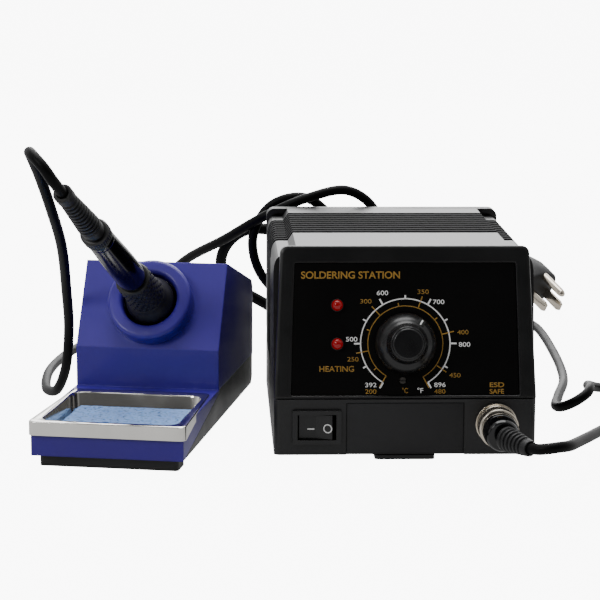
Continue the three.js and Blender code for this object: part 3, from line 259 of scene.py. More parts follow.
def loft(rings, closed=False, capped=True):
    """A closed mesh through rings of points; closed joins the last ring to the first."""
    mesh = bmesh.new()
    rows = [[mesh.verts.new(p) for p in ring] for ring in rings]
    pairs = list(zip(rows, rows[1:])) + ([(rows[-1], rows[0])] if closed else [])
    for a, b in pairs:
        for i in range(len(a)):
            j = (i + 1) % len(a)
            mesh.faces.new((a[i], a[j], b[j], b[i]))
    if capped and not closed:
        mesh.faces.new(rows[0][::-1])
        mesh.faces.new(rows[-1])
    return mesh


def rounded(profile, radius=0.25, steps=3, closed=False):
    """The profile with its corners rounded; (r, h, 0) keeps a corner sharp."""
    result = []
    count = len(profile)
    for i, point in enumerate(profile):
        here = Vector(point[:2])
        r = point[2] if len(point) > 2 else radius
        if (not closed and i in (0, count - 1)) or r == 0:
            result.append(here)
            continue
        before = Vector(profile[i - 1][:2]) - here
        after = Vector(profile[(i + 1) % count][:2]) - here
        cut = min(r, 0.45 * before.length, 0.45 * after.length)
        a = here + before.normalized() * cut
        b = here + after.normalized() * cut
        for k in range(steps + 1):
            t = k / steps
            result.append((1 - t) ** 2 * a + 2 * t * (1 - t) * here + t * t * b)
    return result


def lathe(profile, segments=96, radius=0.25, closed=False, shape=None):
    """Spins the profile about Z. shape(turn, r, h) may change the radius."""
    points = rounded(profile, radius, closed=closed)
    rings = []
    for r, h in points:
        ring = []
        for k in range(segments):
            turn = 2 * pi * k / segments
            rr = max(r, 0.01) if shape is None else shape(turn, max(r, 0.01), h)
            ring.append((rr * cos(turn), rr * sin(turn), h))
        rings.append(ring)
    return loft(rings, closed=closed)


def prism(outline, low, high, bevel=0.0, segments=3):
    """Raises an outline of (x, y) points from low to high and rounds its edges."""
    mesh = loft([[(x, y, low) for x, y in outline], [(x, y, high) for x, y in outline]])
    if bevel:
        bmesh.ops.bevel(mesh, geom=mesh.edges[:], offset=bevel, segments=segments, profile=0.5,
                        affect="EDGES", clamp_overlap=True, material=-1)
    return mesh


def corners(x0, x1, y0, y1, radius, steps=8):
    """A rectangle with round corners, counter-clockwise."""
    points = []
    for cx, cy, start in ((x1, y1, 0), (x0, y1, 90), (x0, y0, 180), (x1, y0, 270)):
        ox = cx - radius if cx == x1 else cx + radius
        oy = cy - radius if cy == y1 else cy + radius
        for k in range(steps + 1):
            turn = radians(start + 90 * k / steps)
            points.append((ox + radius * cos(turn), oy + radius * sin(turn)))
    return points


def merge(target, other, place=STATION):
    """Adds the other mesh, placed, to the target."""
    bmesh.ops.transform(other, matrix=place, verts=other.verts)
    data = bpy.data.meshes.new("part")
    other.to_mesh(data)
    other.free()
    target.from_mesh(data)
    bpy.data.meshes.remove(data)
    return target


# %% [markdown]
# ## Leads
# Each lead follows the model's own route. The iron's lead is 5 mm silicone: its hanging part is a
# tube of its own, the rest lies on the table. The mains lead is
# 6 mm PVC, with a little over five turns wound in a coil behind the station.

# %% route helpers
def smooth(points, lowest, step=1.6):
    """Points close together along a centripetal curve through the given ones, none below lowest."""
    p = [Vector(q) for q in points]
    p = [2 * p[0] - p[1]] + p + [2 * p[-1] - p[-2]]
    out = []
    for i in range(1, len(p) - 2):
        a, b, c, d = p[i - 1:i + 3]
        t1 = sqrt((b - a).length)
        t2 = t1 + sqrt((c - b).length)
        t3 = t2 + sqrt((d - c).length)
        count = max(2, int((c - b).length / step))
        for k in range(count):
            t = t1 + (t2 - t1) * k / count
            a1 = a.lerp(b, t / t1)
            a2 = b.lerp(c, (t - t1) / (t2 - t1))
            a3 = c.lerp(d, (t - t2) / (t3 - t2))
            b1 = a1.lerp(a2, t / t2)
            b2 = a2.lerp(a3, (t - t1) / (t3 - t1))
            out.append(b1.lerp(b2, (t - t1) / (t2 - t1)))
    out.append(p[-2])
    return [Vector((q.x, q.y, max(q.z, lowest))) for q in out]


def tube(points, radius, sides=20):
    """A closed round tube along the points."""
    side = Vector((0.3, 0.2, 1.0))
    rings = []
    for i, point in enumerate(points):
        ahead = (points[min(i + 1, len(points) - 1)] - points[max(i - 1, 0)]).normalized()
        side = (side - ahead * side.dot(ahead)).normalized()
        other = ahead.cross(side)
        rings.append([point + radius * (cos(2 * pi * k / sides) * side + sin(2 * pi * k / sides) * other)
                      for k in range(sides)])
    return loft(rings)


def run_length(points):
    return 0.001 * sum((b - a).length for a, b in zip(points, points[1:]))


# %% the iron's lead
iron_up = [
    (-152.5, -44.7, 128.2), (-155.4, -48.9, 133.0), (-159.0, -49.4, 138.4), (-163.2, -45.9, 142.6),
    (-165.6, -39.6, 144.0),
]
iron_down = [
    (-165.8, -32.2, 142.0), (-163.6, -15.0, 131.0), (-160.2, 6.0, 113.0), (-157.8, 34.0, 92.5),
    (-158.0, 66.0, 66.0), (-158.6, 88.0, 42.5), (-161.5, 102.0, 20.0), (-166.6, 114.0, 7.0),
    (-173.0, 132.0, 2.9), (-175.6, 176.0, 2.9), (-170.0, 222.0, 2.9), (-161.0, 250.0, 4.2),
    (-147.0, 264.0, 12.0), (-130.0, 256.0, 24.0), (-103.6, 207.0, 58.1), (-81.3, 180.0, 74.2),
    (-60.3, 165.5, 88.5), (-38.0, 163.0, 98.4), (-17.3, 164.0, 102.2), (-3.6, 165.2, 93.0),
    (1.5, 168.0, 69.0), (-15.0, 171.0, 44.5), (-41.0, 171.5, 39.5), (-61.5, 171.5, 55.5),
    (-66.6, 171.5, 76.0), (-57.0, 171.0, 93.4), (-39.0, 170.0, 97.6), (-23.0, 171.0, 84.0),
    (-10.0, 175.0, 50.0), (8.0, 176.0, 16.0), (36.0, 172.0, 4.0), (64.0, 188.0, 2.9),
    (76.0, 240.0, 2.9), (77.0, 307.0, 2.9), (80.6, 320.0, 2.9), (90.5, 325.5, 2.9),
    (100.4, 320.0, 2.9), (104.0, 307.0, 2.9), (103.6, 233.0, 2.9), (97.4, 152.0, 2.9),
    (88.5, 112.0, 2.9), (84.0, 88.0, 3.0), (86.4, 81.3, 4.4), (92.2, 78.5, 7.7),
    (98.1, 81.3, 11.1), (100.5, 88.0, 12.5), (103.5, 110.0, 9.0), (114.0, 130.0, 3.4),
    (125.0, 136.4, 2.9), (135.6, 129.0, 2.9), (137.4, 116.0, 2.9), (127.0, 82.0, 4.6),
    (106.0, 34.0, 8.0), (88.0, -6.0, 11.6), (75.5, -36.0, 15.0), (67.0, -55.9, 17.6),
    (63.4, -59.2, 18.0), (58.5, -60.2, 17.6), (53.9, -58.6, 16.8),
]
iron_exit = IRON @ Vector((0, 0, 123.5))
connector_exit = Vector((50.2, -54.1, 16.3))
iron_run = smooth([iron_exit] + iron_up + iron_down + [connector_exit], 2.6)
landing = min(range(len(iron_run)), key=lambda i: (iron_run[i] - Vector((-173, 132, 2.9))).length)
hanging_run = iron_run[:landing + 1]
table_run = iron_run[landing:]
iron_lead_hanging = piece("iron_lead_hanging", tube(hanging_run, 2.5), silicone, None,
                          ["iron_cord_upper"], angle=60)
iron_lead = piece("iron_lead", tube(table_run, 2.5), silicone, "root", ["iron_cord_lower"],
                  angle=60)
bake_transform(iron_lead_hanging)
print("iron lead", round(run_length(iron_run), 3), "m")

# %% the mains lead and its coil
mains_first = [
    (34.0, 176.0, 44.0), (34.0, 180.0, 44.0), (32.0, 188.0, 45.0), (18.0, 199.0, 50.0),
    (-6.0, 201.0, 59.0), (-34.0, 194.0, 71.0), (-58.0, 189.5, 78.0), (-70.0, 190.0, 77.5),
    (-79.6, 193.5, 70.0), (-83.4, 201.0, 57.5), (-76.5, 211.0, 44.5), (-60.0, 215.0, 33.5),
    (-41.0, 208.6, 23.6), (-26.0, 197.0, 15.8),
]
mains_last = [
    (51.6, 228.0, 3.3), (51.2, 272.0, 3.3), (48.0, 324.0, 3.3), (45.6, 370.0, 3.8),
    (48.5, 400.0, 10.0), (61.0, 419.0, 24.0), (80.0, 424.0, 36.0),
]


def ramp(t, start, end):
    s = min(1.0, max(0.0, (t - start) / (end - start)))
    return s * s * (3 - 2 * s)


def coil_point(t):
    """The coil after t turns: inwards on top for nearly three turns, then outwards below."""
    pitch = 6.05
    radius = 33 + pitch - pitch * ramp(t, 0.95, 1.15) - pitch * ramp(t, 1.85, 2.05)
    radius += pitch * ramp(t, 3.3, 3.55) + pitch * ramp(t, 4.3, 4.55)
    height = 3.2 + pitch * (1 - ramp(t, 2.6, 2.9)) + 6.0 * (1 - ramp(t, 0.0, 0.3))
    turn = radians(225) + 2 * pi * t
    return (6 + radius * cos(turn), 222 + radius * sin(turn), height)


coil = [coil_point(5.33 * k / 170) for k in range(171)]
plug_lead_end = PLUG @ Vector((0, 0, -37.5))
mains_run = smooth(mains_first + coil + mains_last + [plug_lead_end], 3.1, 2.0)
mains_lead = piece("mains_lead", tube(mains_run, 3.0), pvc, "root",
                   ["mains_cord_first", "mains_coil", "mains_cord_last"], angle=60)
print("mains lead", round(run_length(mains_run), 3), "m")

# %% [markdown]
# ## Mains plug
# A moulded three-pin plug: the body is lofted from its face back to the strain relief, which is
# cut into rings. The blades and the earth pin are nickel plated.

# %% mains plug
def plug_section(w, h, round_top):
    """Half width w, half height h; round_top blends from a flat-bottomed outline to a circle."""
    ring = []
    for k in range(72):
        turn = 2 * pi * k / 72
        c, s = cos(turn), sin(turn)
        power = 4.0 - 2.0 * max(0.0, s) if round_top < 1 else 2.0
        power = power + (2.0 - power) * round_top
        scale = (abs(c) ** power + abs(s) ** power) ** (-1 / power)
        ring.append((w * scale * c, h * scale * s))
    return ring


sections = [(10.2, 8.9, 0.0, 0.0), (11.4, 10.1, 0.0, -0.5), (12.0, 10.7, 0.0, -1.6),
            (12.0, 10.7, 0.0, -9.0), (11.8, 10.5, 0.0, -15.0), (11.0, 9.8, 0.3, -18.5),
            (9.4, 8.9, 0.6, -22.5), (7.4, 7.4, 1.0, -26.5), (5.6, 5.6, 1.0, -27.6)]
height = -27.6
while height > -37.5:
    radius = 5.4 - 0.9 * (-27.6 - height) / 11.4
    for r, dh in ((radius - 1.0, 0.2), (radius - 1.0, 1.0), (radius, 1.3), (radius, 2.5)):
        sections.append((r, r, 1.0, height - dh))
    height -= 2.7
sections += [(3.2, 3.2, 1.0, sections[-1][3] - 0.2)]
plug_mesh = loft([[(x, y, z) for x, y in plug_section(w, h, t)] for w, h, t, z in sections])
plug_body = piece("plug_body", plug_mesh, rubber, "root", ["mains_plug"], PLUG)
pin_profile = [(0, -1), (2.4, -1), (2.4, 15.5), (2.2, 17.6), (1.4, 19.3), (0, 20)]
earth_pin = piece("earth_pin", lathe(pin_profile, 48), nickel, "root", ["plug_earth_pin"],
                  PLUG @ Matrix.Translation((0, 7.93, 0)))
for name, x in (("plug_blade_left", -6.35), ("plug_blade_right", 6.35)):
    blade = prism([(-3.2, -1.0), (3.2, -1.0), (3.2, 14.3), (2.2, 16.5), (-2.2, 16.5), (-3.2, 14.3)],
                  -0.8, 0.8, 0.18)
    turn = Matrix(((0, 0, 1, 0), (1, 0, 0, 0), (0, 1, 0, 0), (0, 0, 0, 1)))
    piece(name + "_finished", blade, nickel, "root", [name],
                        PLUG @ Matrix.Translation((x, -3.97, 0)) @ turn)

# %% [markdown]
# ## Solids that keep the model's mesh
# Flat-sided pieces and everything inside the case keep the model's own shape and get a material.
# The shader rounds their edges.

# %% materials on the model's own solids
kept = {
    "base_housing": case_abs, "front_foot": rubber, "rear_foot_left": rubber,
    "rear_foot_right": rubber, "top_cover": cover_abs, "rear_panel": case_abs,
    "fascia_panel": decal, "potentiometer": zinc,
    "potentiometer_nut": nickel, "potentiometer_shaft": zinc, "calibration_screw": core_steel,
    "rocker_frame": switch_pbt, "rocker": switch_pbt, "output_socket": nickel,
    "transformer_core": core_steel, "transformer_winding": tape, "transformer_bracket": zinc,
    "circuit_board": board_green, "smoothing_capacitor": gloss, "heat_sink": aluminium,
    "stand_base": case_abs, "stand_cover": enamel, "stand_pad": rubber,
    "stand_foot_left": rubber, "stand_foot_right": rubber, "holder_tube": zinc,
    "tip_nut": zinc, "heater_sleeve": stainless, "soldering_tip": nickel,
}
for name, material in kept.items():
    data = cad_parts[name].data
    data.materials.clear()
    data.materials.append(material)
print("kept", len(kept), "of", len(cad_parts), "nodes")

# %% [markdown]
# ## Lower front
# Between the switch and the socket a plain lighter panel is let into the housing.

# %% bezel
def bezel_ring(bottom, top, z0, z1, r_low, r_high, y, steps=8):
    """A trapezium with round corners at depth y behind the front plane, cut level below."""
    ring = []
    for half, z, r, sx, sz, start in ((top, z1, r_high, 1, 1, 0), (top, z1, r_high, -1, 1, 90),
                                      (bottom, z0, r_low, -1, -1, 180), (bottom, z0, r_low, 1, -1, 270)):
        for k in range(steps + 1):
            turn = radians(start + 90 * k / steps)
            pz = z - sz * r + r * sin(turn)
            ring.append((sx * (half - r) + r * cos(turn), y, max(pz, 0.3 + 0.181 * y)))
    return ring


bezel_rings = [bezel_ring(59.5, 56.6, 0.3, 69.7, 0.5, 3.4, 7.9),
               bezel_ring(59.8, 56.9, 0.3, 70.0, 0.5, 3.6, 7.5),
               bezel_ring(59.8, 56.9, 0.3, 70.0, 0.5, 3.6, 1.3),
               bezel_ring(59.5, 56.6, 0.4, 69.7, 0.7, 3.4, 0.5),
               bezel_ring(58.9, 56.0, 0.7, 69.1, 0.9, 3.2, 0.1),
               bezel_ring(58.2, 55.3, 1.1, 68.4, 0.9, 3.0, 0.0),
               bezel_ring(52.4, 50.7, 1.5, 62.5, 1.0, 1.0, 0.0),
               bezel_ring(52.1, 50.4, 1.8, 62.2, 0.8, 0.8, 0.3),
               bezel_ring(52.1, 50.4, 1.8, 62.2, 0.8, 0.8, 2.9),
               bezel_ring(48.1, 46.4, 5.8, 58.2, 0.8, 0.8, 2.9),
               bezel_ring(48.1, 46.4, 5.8, 58.2, 0.8, 0.8, 7.9)]
piece("bezel_moulded", loft(bezel_rings, closed=True), bezel_abs, "root", ["front_bezel"],
      FACE, 30)

# a thin black strip painted as the shade in the gap in front of the ribs
gap_strip = prism(corners(-49.0, 49.0, 92.95, 94.45, 0.2, 3), 65.75, 65.98, 0.02, 1)
piece("cover_gap_painted_shade", gap_strip, shade_black, "root", ())

# %% recessed panel and switch marks
panel = prism(corners(-26.7, 26.7, 3.0, 26.2, 0.6, 3), 0, 0.5, 0.15, 2)
to_front = Matrix(((1, 0, 0, 0), (0, 0, -1, -7.05), (0, 1, 0, 0), (0, 0, 0, 1)))
piece("lower_panel", panel, panel_abs, "root", (), to_front)

rocker_place = Matrix.Translation((-40.3, -5, 15.4)) @ Matrix.Rotation(radians(-10), 4, "Z")
VALLEY = 0.14
marks = bmesh.new()
bar = prism(corners(-1.6, 1.6, -0.28, 0.28, 0.1, 2), 0, 0.12)
left_face = Matrix.Translation((-2.2, -2.62 - 2.2 * VALLEY, -1.1)) @ Matrix.Rotation(
    VALLEY, 4, "Z") @ Matrix.Rotation(pi / 2, 4, "X")
merge(marks, bar, left_face)
ring = lathe([(1.6, 0), (2.1, 0), (2.1, 0.12), (1.6, 0.12)], 40, 0.0, closed=True)
right_face = Matrix.Translation((5.6, -2.62 - 5.6 * VALLEY, -0.6)) @ Matrix.Rotation(
    -VALLEY, 4, "Z") @ Matrix.Rotation(pi / 2, 4, "X")
merge(marks, ring, right_face)
piece("rocker_marks", marks, white_ink_glow, "rocker_body", (), rocker_place)

# %% [markdown]
# ## Dial
# Two scales run about 300 degrees round the knob: white Fahrenheit outside, gold Celsius inside.
# Angles are clockwise from the top. All print stands 0.05 mm above the decal.

# %% printed scales
PRINT = 0.05
to_print = FACE @ Matrix(((1, 0, 0, 0), (0, 0, -1, 0.6), (0, 1, 0, 0), (0, 0, 0, 1)))
AT_KNOB = Matrix.Translation((0, KNOB_V, 0))
WHITE_RADIUS = 20.4
GOLD_RADIUS = 17.1


def arc(mesh, radius, width, start, end, place=AT_KNOB):
    """A printed arc from start to end degrees, clockwise from the top."""
    count = max(8, int(abs(end - start) / 2))
    outline = []
    for r, order in ((radius + width / 2, range(count + 1)), (radius - width / 2, range(count, -1, -1))):
        for k in order:
            turn = radians(start + (end - start) * k / count)
            outline.append((r * sin(turn), r * cos(turn)))
    n = count + 1
    rings = []
    for k in range(n):
        (xo, yo), (xi, yi) = outline[k], outline[2 * n - 1 - k]
        rings.append([(xo, yo, 0), (xo, yo, PRINT), (xi, yi, PRINT), (xi, yi, 0)])
    merge(mesh, loft(rings), place)


def tick(mesh, angle, inner, outer, width):
    turn = Matrix.Rotation(-radians(angle), 4, "Z")
    bar = prism([(-width / 2, inner), (width / 2, inner), (width / 2, outer), (-width / 2, outer)],
                0, PRINT)
    merge(mesh, bar, AT_KNOB @ turn)


def letters(mesh, text, at, size, width, bold=0.02):
    """Text as a thin solid with its middle at the point, stretched to the width."""
    curve = bpy.data.curves.new("letters", "FONT")
    curve.body = text
    curve.size = size
    curve.align_x = "CENTER"
    curve.align_y = "CENTER"
    curve.extrude = PRINT / 2
    curve.offset = bold * size / 3
    temporary = bpy.data.objects.new("letters", curve)
    bpy.context.scene.collection.objects.link(temporary)
    bpy.context.view_layer.update()
    source = temporary.evaluated_get(bpy.context.evaluated_depsgraph_get()).to_mesh()
    made = bmesh.new()
    made.from_mesh(source)
    bpy.data.objects.remove(temporary)
    bmesh.ops.remove_doubles(made, verts=made.verts, dist=0.0005)
    wide = max(v.co.x for v in made.verts) - min(v.co.x for v in made.verts)
    stretch = Matrix.Scale(width / wide, 4, (1, 0, 0))
    merge(mesh, made, Matrix.Translation((at[0], at[1], PRINT / 2)) @ stretch)


white = bmesh.new()
arc(white, WHITE_RADIUS, 0.55, -150, 150)
white_scale = {392: -150, 500: -90, 600: -30, 650: 0, 700: 30, 800: 90, 896: 150}
for value, angle in white_scale.items():
    tick(white, angle, WHITE_RADIUS, 22.0 if value == 650 else 23.4, 0.75)
for angle in (-120, -60, 60, 120):
    tick(white, angle, WHITE_RADIUS, 22.2, 0.7)
for text, u, v in (("392", -15.8, -18.9), ("500", -24.5, 1.9), ("600", -10.4, 22.9),
                   ("700", 15.2, 18.8), ("800", 27.0, -0.6), ("896", 15.7, -18.9)):
    letters(white, text, (u, KNOB_V + v), 2.9, width=5.2)
letters(white, "°F", (6.7, 3.9), 3.2, width=2.7)
white_print = piece("dial_print_white", white, white_ink_glow, "root", (), to_print, 20)

gold = bmesh.new()
arc(gold, GOLD_RADIUS, 0.4, -149, 152)
gold_scale = {200: -149, 250: -101, 300: -42, 350: 20, 400: 76, 450: 125, 480: 152}
for value, angle in gold_scale.items():
    tick(gold, angle, GOLD_RADIUS, 22.8, 0.5)
for angle in (-130, -70, -10, 51):
    tick(gold, angle, 16.9, 18.7, 0.5)
for text, u, v in (("200", -15.8, -21.9), ("250", -23.9, -7.2), ("300", -18.0, 19.1),
                   ("350", 8.1, 23.4), ("400", 26.3, 5.0), ("450", 22.6, -14.6), ("480", 15.7, -21.9)):
    letters(gold, text, (u, KNOB_V + v), 2.9, bold=0.0, width=5.1)
letters(gold, "°C", (-0.2, 3.9), 3.2, width=2.7)
letters(gold, "HEATING", (-31.3, 13.8), 3.6, bold=0.03, width=15.7)
letters(gold, "SOLDERING STATION", (-24.8, 56.4), 4.6, bold=0.05, width=45.0)
letters(gold, "ESD", (41.7, 6.4), 3.0, bold=0.04, width=6.6)
letters(gold, "SAFE", (41.7, 3.4), 3.0, bold=0.04, width=6.6)
piece("dial_print_gold", gold, gold_ink, "root", (), to_print, 20)
print("print", len(white_print.data.polygons), "faces in white")

# %% [markdown]
# ## Knob and lamps
# The knob has a rounded skirt, a hollow shoulder and a raised grip with a plain cap. A white line
# in a small dark notch marks its setting, 35 degrees clockwise from the top at rest.

# %% knob
knob_profile = [(3.4, 5.0), (5.6, 5.0), (8.2, 3.6), (8.2, 0.8), (13.5, 0.8), (14.0, 1.3), (14.0, 2.4),
                (13.8, 3.8, 0.8), (13.2, 5.4, 1.0), (12.2, 7.0, 1.0), (11.2, 8.2, 0.8), (9.8, 9.2, 1.2),
                (8.8, 10.6, 1.0), (8.3, 12.4, 0.6), (8.0, 14.6), (7.6, 15.3), (6.9, 15.4), (0, 15.1),
                (0, 13.3), (3.4, 13.3)]
piece("knob_skirt", lathe(knob_profile, 128, 0.3, closed=True), knob_abs, "knob",
      ["temperature_knob"], KNOB)
piece("knob_top", lathe([(0, 15.2), (6.8, 15.2), (7.0, 15.5), (7.0, 15.9), (6.5, 16.4), (0, 16.25)],
                        128, 0.3), knob_abs, "knob", ["knob_cap"], KNOB)
# the setting line stands across the skirt, in the knob's own frame seen from the front
line_turn = FACE @ Matrix.Translation((0, 0, KNOB_V)) @ Matrix.Rotation(radians(35), 4, "Y")
line_place = line_turn @ Matrix.Translation((0, -7.2, 11.3)) @ Matrix.Rotation(radians(-34), 4, "X")
# the notch's hollow is a black block, painted shade
notch = prism(corners(-1.7, 1.7, -1.6, 1.9, 0.5, 4), -2.0, 0.35, 0.12, 2)
flat = Matrix(((1, 0, 0, 0), (0, 0, -1, 0), (0, 1, 0, 0), (0, 0, 0, 1)))
piece("knob_notch_shade", notch, shade_black, "knob", (), line_place @ flat)
line = prism(corners(-0.35, 0.35, -1.2, 1.6, 0.15, 3), -1.0, 0.5, 0.1, 2)
piece("knob_line", line, white_ink_glow, "knob", ["knob_pointer"], line_place @ flat)

# %% lamps
for name, v in (("led_power", 42.9), ("led_heating", 25.3)):
    dome = [(0, -6.3), (3.0, -6.3), (3.0, -2.3), (2.5, -2.3), (2.5, 1.6)]
    dome += [(2.5 * cos(a), 1.6 + 2.3 * sin(a), 0) for a in [radians(10 * k) for k in range(1, 9)]]
    dome += [(0, 3.9)]
    piece(name + "_lens", lathe(dome, 64, 0.2), lens, "root", [name],
          along((-31, 0.6, v), (0, -1, 0), FACE))
    # a thin black ring round each lens is painted shade for the gap between lens and panel
    rim = lathe([(2.55, 0.02), (2.95, 0.02), (2.9, 0.3), (2.55, 0.4)], 64, 0.05, closed=True)
    piece(name + "_shade_ring", rim, shade_black, "root", (), along((-31, 0.6, v), (0, -1, 0), FACE))

# %% [markdown]
# ## Socket and connector
# A knurled nickel ring holds the iron's connector. Its black body ends in a ribbed boot that leans
# to the right, where the lead comes out.

# %% connector
def knurl(depth, count, low, high):
    def shape(turn, r, h):
        return r - depth * (0.5 + 0.5 * cos(count * turn)) if low < h < high else r
    return shape


ring_profile = [(7.3, 2.6), (8.5, 2.6), (9.0, 3.1), (9.0, 4.4), (8.7, 4.7), (9.0, 5.0), (9.0, 10.3),
                (8.7, 10.6), (9.0, 10.9), (9.0, 12.1), (8.5, 12.6), (6.0, 12.6), (6.0, 11.2), (7.3, 11.2)]
piece("ring_knurled", lathe(ring_profile, 192, 0.15, True, knurl(0.22, 48, 4.9, 10.4)), nickel,
      "ring", ["coupling_ring"], SOCKET)
connector_profile = [(0, 2.3), (5.3, 2.3), (5.3, 8.6), (7.0, 8.6), (7.0, 10.9), (5.7, 10.9),
                     (5.7, 12.9), (8.0, 12.9), (8.0, 18.2), (7.6, 18.8), (7.6, 19.6), (7.9, 20.2),
                     (7.3, 25.4), (6.4, 26.9), (0, 26.9)]
connector_body = piece("connector_body", lathe(connector_profile, 96, 0.4), gloss, "root",
                       ["connector_plug"], SOCKET)
boot_frame = along((42.2, -38.1, 16.9), (0.5, -1, -0.04))
boot_profile = [(0, 0.0), (5.2, 0.0), (5.6, 0.6), (5.6, 2.2)]
for k in range(6):
    r, h = 5.5 - 0.3 * k, 2.6 + 2.4 * k
    boot_profile += [(r - 0.9, h), (r - 0.9, h + 0.8), (r, h + 1.0), (r - 0.1, h + 2.2)]
boot_profile += [(3.8, 17.4), (3.5, 19.0), (2.6, 19.0), (2.6, 18.0), (0, 18.0)]
piece("connector_boot_ribbed", lathe(boot_profile, 72, 0.25), rubber, "root", ["connector_boot"],
      boot_frame)
print("connector", len(connector_body.data.polygons), "faces")

# %% [markdown]
# ## Rear fittings
# A tapered bush guards the mains lead, and the fuse cap is knurled round its side.

# %% gland and fuse
gland_frame = along((34, 157, 44), (0, 1, 0))
gland_profile = [(3.3, -7.0), (8.0, -7.0), (8.0, -3.3), (6.0, -3.3), (6.0, 0.3), (8.0, 0.3),
                 (8.0, 2.6), (7.2, 3.2), (5.8, 3.8)]
for k in range(5):
    r, h = 5.6 - 0.22 * k, 5.2 + 3.2 * k
    gland_profile += [(r - 0.9, h), (r - 0.9, h + 1.1), (r, h + 1.3), (r - 0.1, h + 2.9)]
gland_profile += [(4.4, 21.6), (3.9, 22.0), (3.3, 22.0)]
piece("gland_bush", lathe(gland_profile, 72, 0.25, True), rubber, "root", ["mains_gland"],
      gland_frame)
fuse_profile = [(0, -26), (5.6, -26), (5.6, 0.3), (8.0, 0.3), (8.0, 1.6), (7.4, 2.2), (5.6, 2.6),
                (5.4, 10.4), (4.8, 11.0), (0, 11.0)]
piece("fuse_cap", lathe(fuse_profile, 72, 0.3, False, knurl(0.3, 24, 3.0, 9.6)), gloss, "root",
      ["fuse_holder"], along((14, 157, 44), (0, 1, 0)))

# %% [markdown]
# ## Stand
# The round collar and the sheet-metal cover share one blue enamel. The tray is pressed from thin
# stainless steel, with a front lip that turns down over the deck.

# %% collar
collar_profile = [(13.4, 0.3, 0), (20.4, 0.3, 0), (20.4, 7.3), (19.2, 8.5), (14.5, 8.5), (13.4, 7.4)]
piece("collar_ring", lathe(collar_profile, 128, 0.7, closed=True), enamel, "root",
      ["holder_collar"], COLLAR)

# %% tray
def tray_ring(front, rear, y0, y1, radius, z, lip=0.0, steps=10):
    """A trapezium with round corners at height z; lip lowers the part near the front."""
    ring = []
    for sx, sy, start in ((1, 1, 0), (-1, 1, 90), (-1, -1, 180), (1, -1, 270)):
        half = rear if sy > 0 else front
        y = y1 if sy > 0 else y0
        for k in range(steps + 1):
            turn = radians(start + 90 * k / steps)
            py = y - sy * radius + radius * sin(turn)
            drop = lip * (1 - ramp(py, 2.2, 3.4))
            ring.append((sx * (half - radius) + radius * cos(turn), py, z - drop))
    return ring


TOP = 21.4
skin = [tray_ring(36.0, 33.3, -1.6, 70.0, 3.0, TOP - 0.7, 5.9),
        tray_ring(36.0, 33.3, -1.6, 70.0, 3.0, TOP - 0.5, 2.6),
        tray_ring(36.0, 33.3, -1.6, 70.0, 3.0, TOP - 0.45),
        tray_ring(35.7, 33.0, -1.3, 69.7, 3.0, TOP - 0.12),
        tray_ring(35.3, 32.6, -0.9, 69.3, 3.0, TOP),
        tray_ring(32.2, 32.0, 1.3, 64.2, 6.6, TOP),
        tray_ring(31.4, 31.4, 1.9, 63.4, 6.3, TOP - 0.25),
        tray_ring(31.0, 31.0, 2.4, 63.0, 6.0, TOP - 1.0),
        tray_ring(30.6, 30.6, 2.8, 62.6, 6.0, TOP - 9.6),
        tray_ring(30.0, 30.0, 3.4, 62.0, 5.6, TOP - 11.0),
        tray_ring(28.8, 28.8, 4.6, 60.8, 5.0, TOP - 11.6)]
inside = [tray_ring(28.8, 28.8, 4.6, 60.8, 5.0, TOP - 12.4),
          tray_ring(30.6, 30.6, 2.8, 62.6, 6.2, TOP - 11.9),
          tray_ring(31.5, 31.5, 1.9, 63.4, 6.8, TOP - 9.6),
          tray_ring(31.8, 31.8, 1.6, 63.8, 6.8, TOP - 1.3),
          tray_ring(32.4, 32.2, 1.2, 64.6, 7.0, TOP - 0.7),
          tray_ring(35.0, 32.3, -0.6, 69.0, 3.0, TOP - 0.75),
          tray_ring(35.3, 32.6, -1.0, 69.3, 2.8, TOP - 0.9),
          tray_ring(35.3, 32.6, -1.05, 69.3, 2.8, TOP - 0.9, 5.7)]
tray_mesh = bmesh.new()
rows = [[tray_mesh.verts.new(p) for p in ring] for ring in skin]
under = [[tray_mesh.verts.new(p) for p in ring] for ring in inside]
for a, b in list(zip(rows, rows[1:])) + list(zip(under, under[1:])) + [(under[-1], rows[0])]:
    for i in range(len(a)):
        j = (i + 1) % len(a)
        tray_mesh.faces.new((a[i], a[j], b[j], b[i]))
tray_mesh.faces.new(rows[-1])
tray_mesh.faces.new(under[0][::-1])
piece("tray_pressed", tray_mesh, stainless, "tray", ["sponge_tray"], STAND, 30)

# %% [markdown]
# The sponge is cellulose: a slab with a dense mesh, softly rounded at its edges and pitted with
# open pores of two sizes.

# %% sponge
sponge_color = surface("cellulose_sponge_blue", "7ea8fb", 0.85, 0.5, 0.12, variation=0.1, patch=6,
                       edge=0.2, wear=0.0, extra={"Sheen Weight": 0.25, "Sheen Roughness": 0.5})
# painted shade: the open pores are darker than the skin between them, standing in for shade in the holes
sponge_tree = sponge_color.node_tree
sponge_place = node(sponge_tree, "ShaderNodeTexCoord").outputs["Object"]
pores = node(sponge_tree, "ShaderNodeTexNoise", {"Vector": sponge_place, "Scale": 620.0, "Detail": 2.0})
pore_shade_mask = node(sponge_tree, "ShaderNodeMapRange", {"Value": pores.outputs["Fac"], "From Min": 0.54,
                                                      "From Max": 0.64, "To Max": 0.75})
sponge_shader = sponge_tree.nodes["Principled BSDF"]
skin = sponge_shader.inputs["Base Color"].links[0].from_socket
pore_shaded = node(sponge_tree, "ShaderNodeMix", {"Factor": pore_shade_mask.outputs["Result"], 6: skin,
                                            7: linear("2f5596")}, data_type="RGBA")
sponge_tree.links.new(pore_shaded.outputs[2], sponge_shader.inputs["Base Color"])


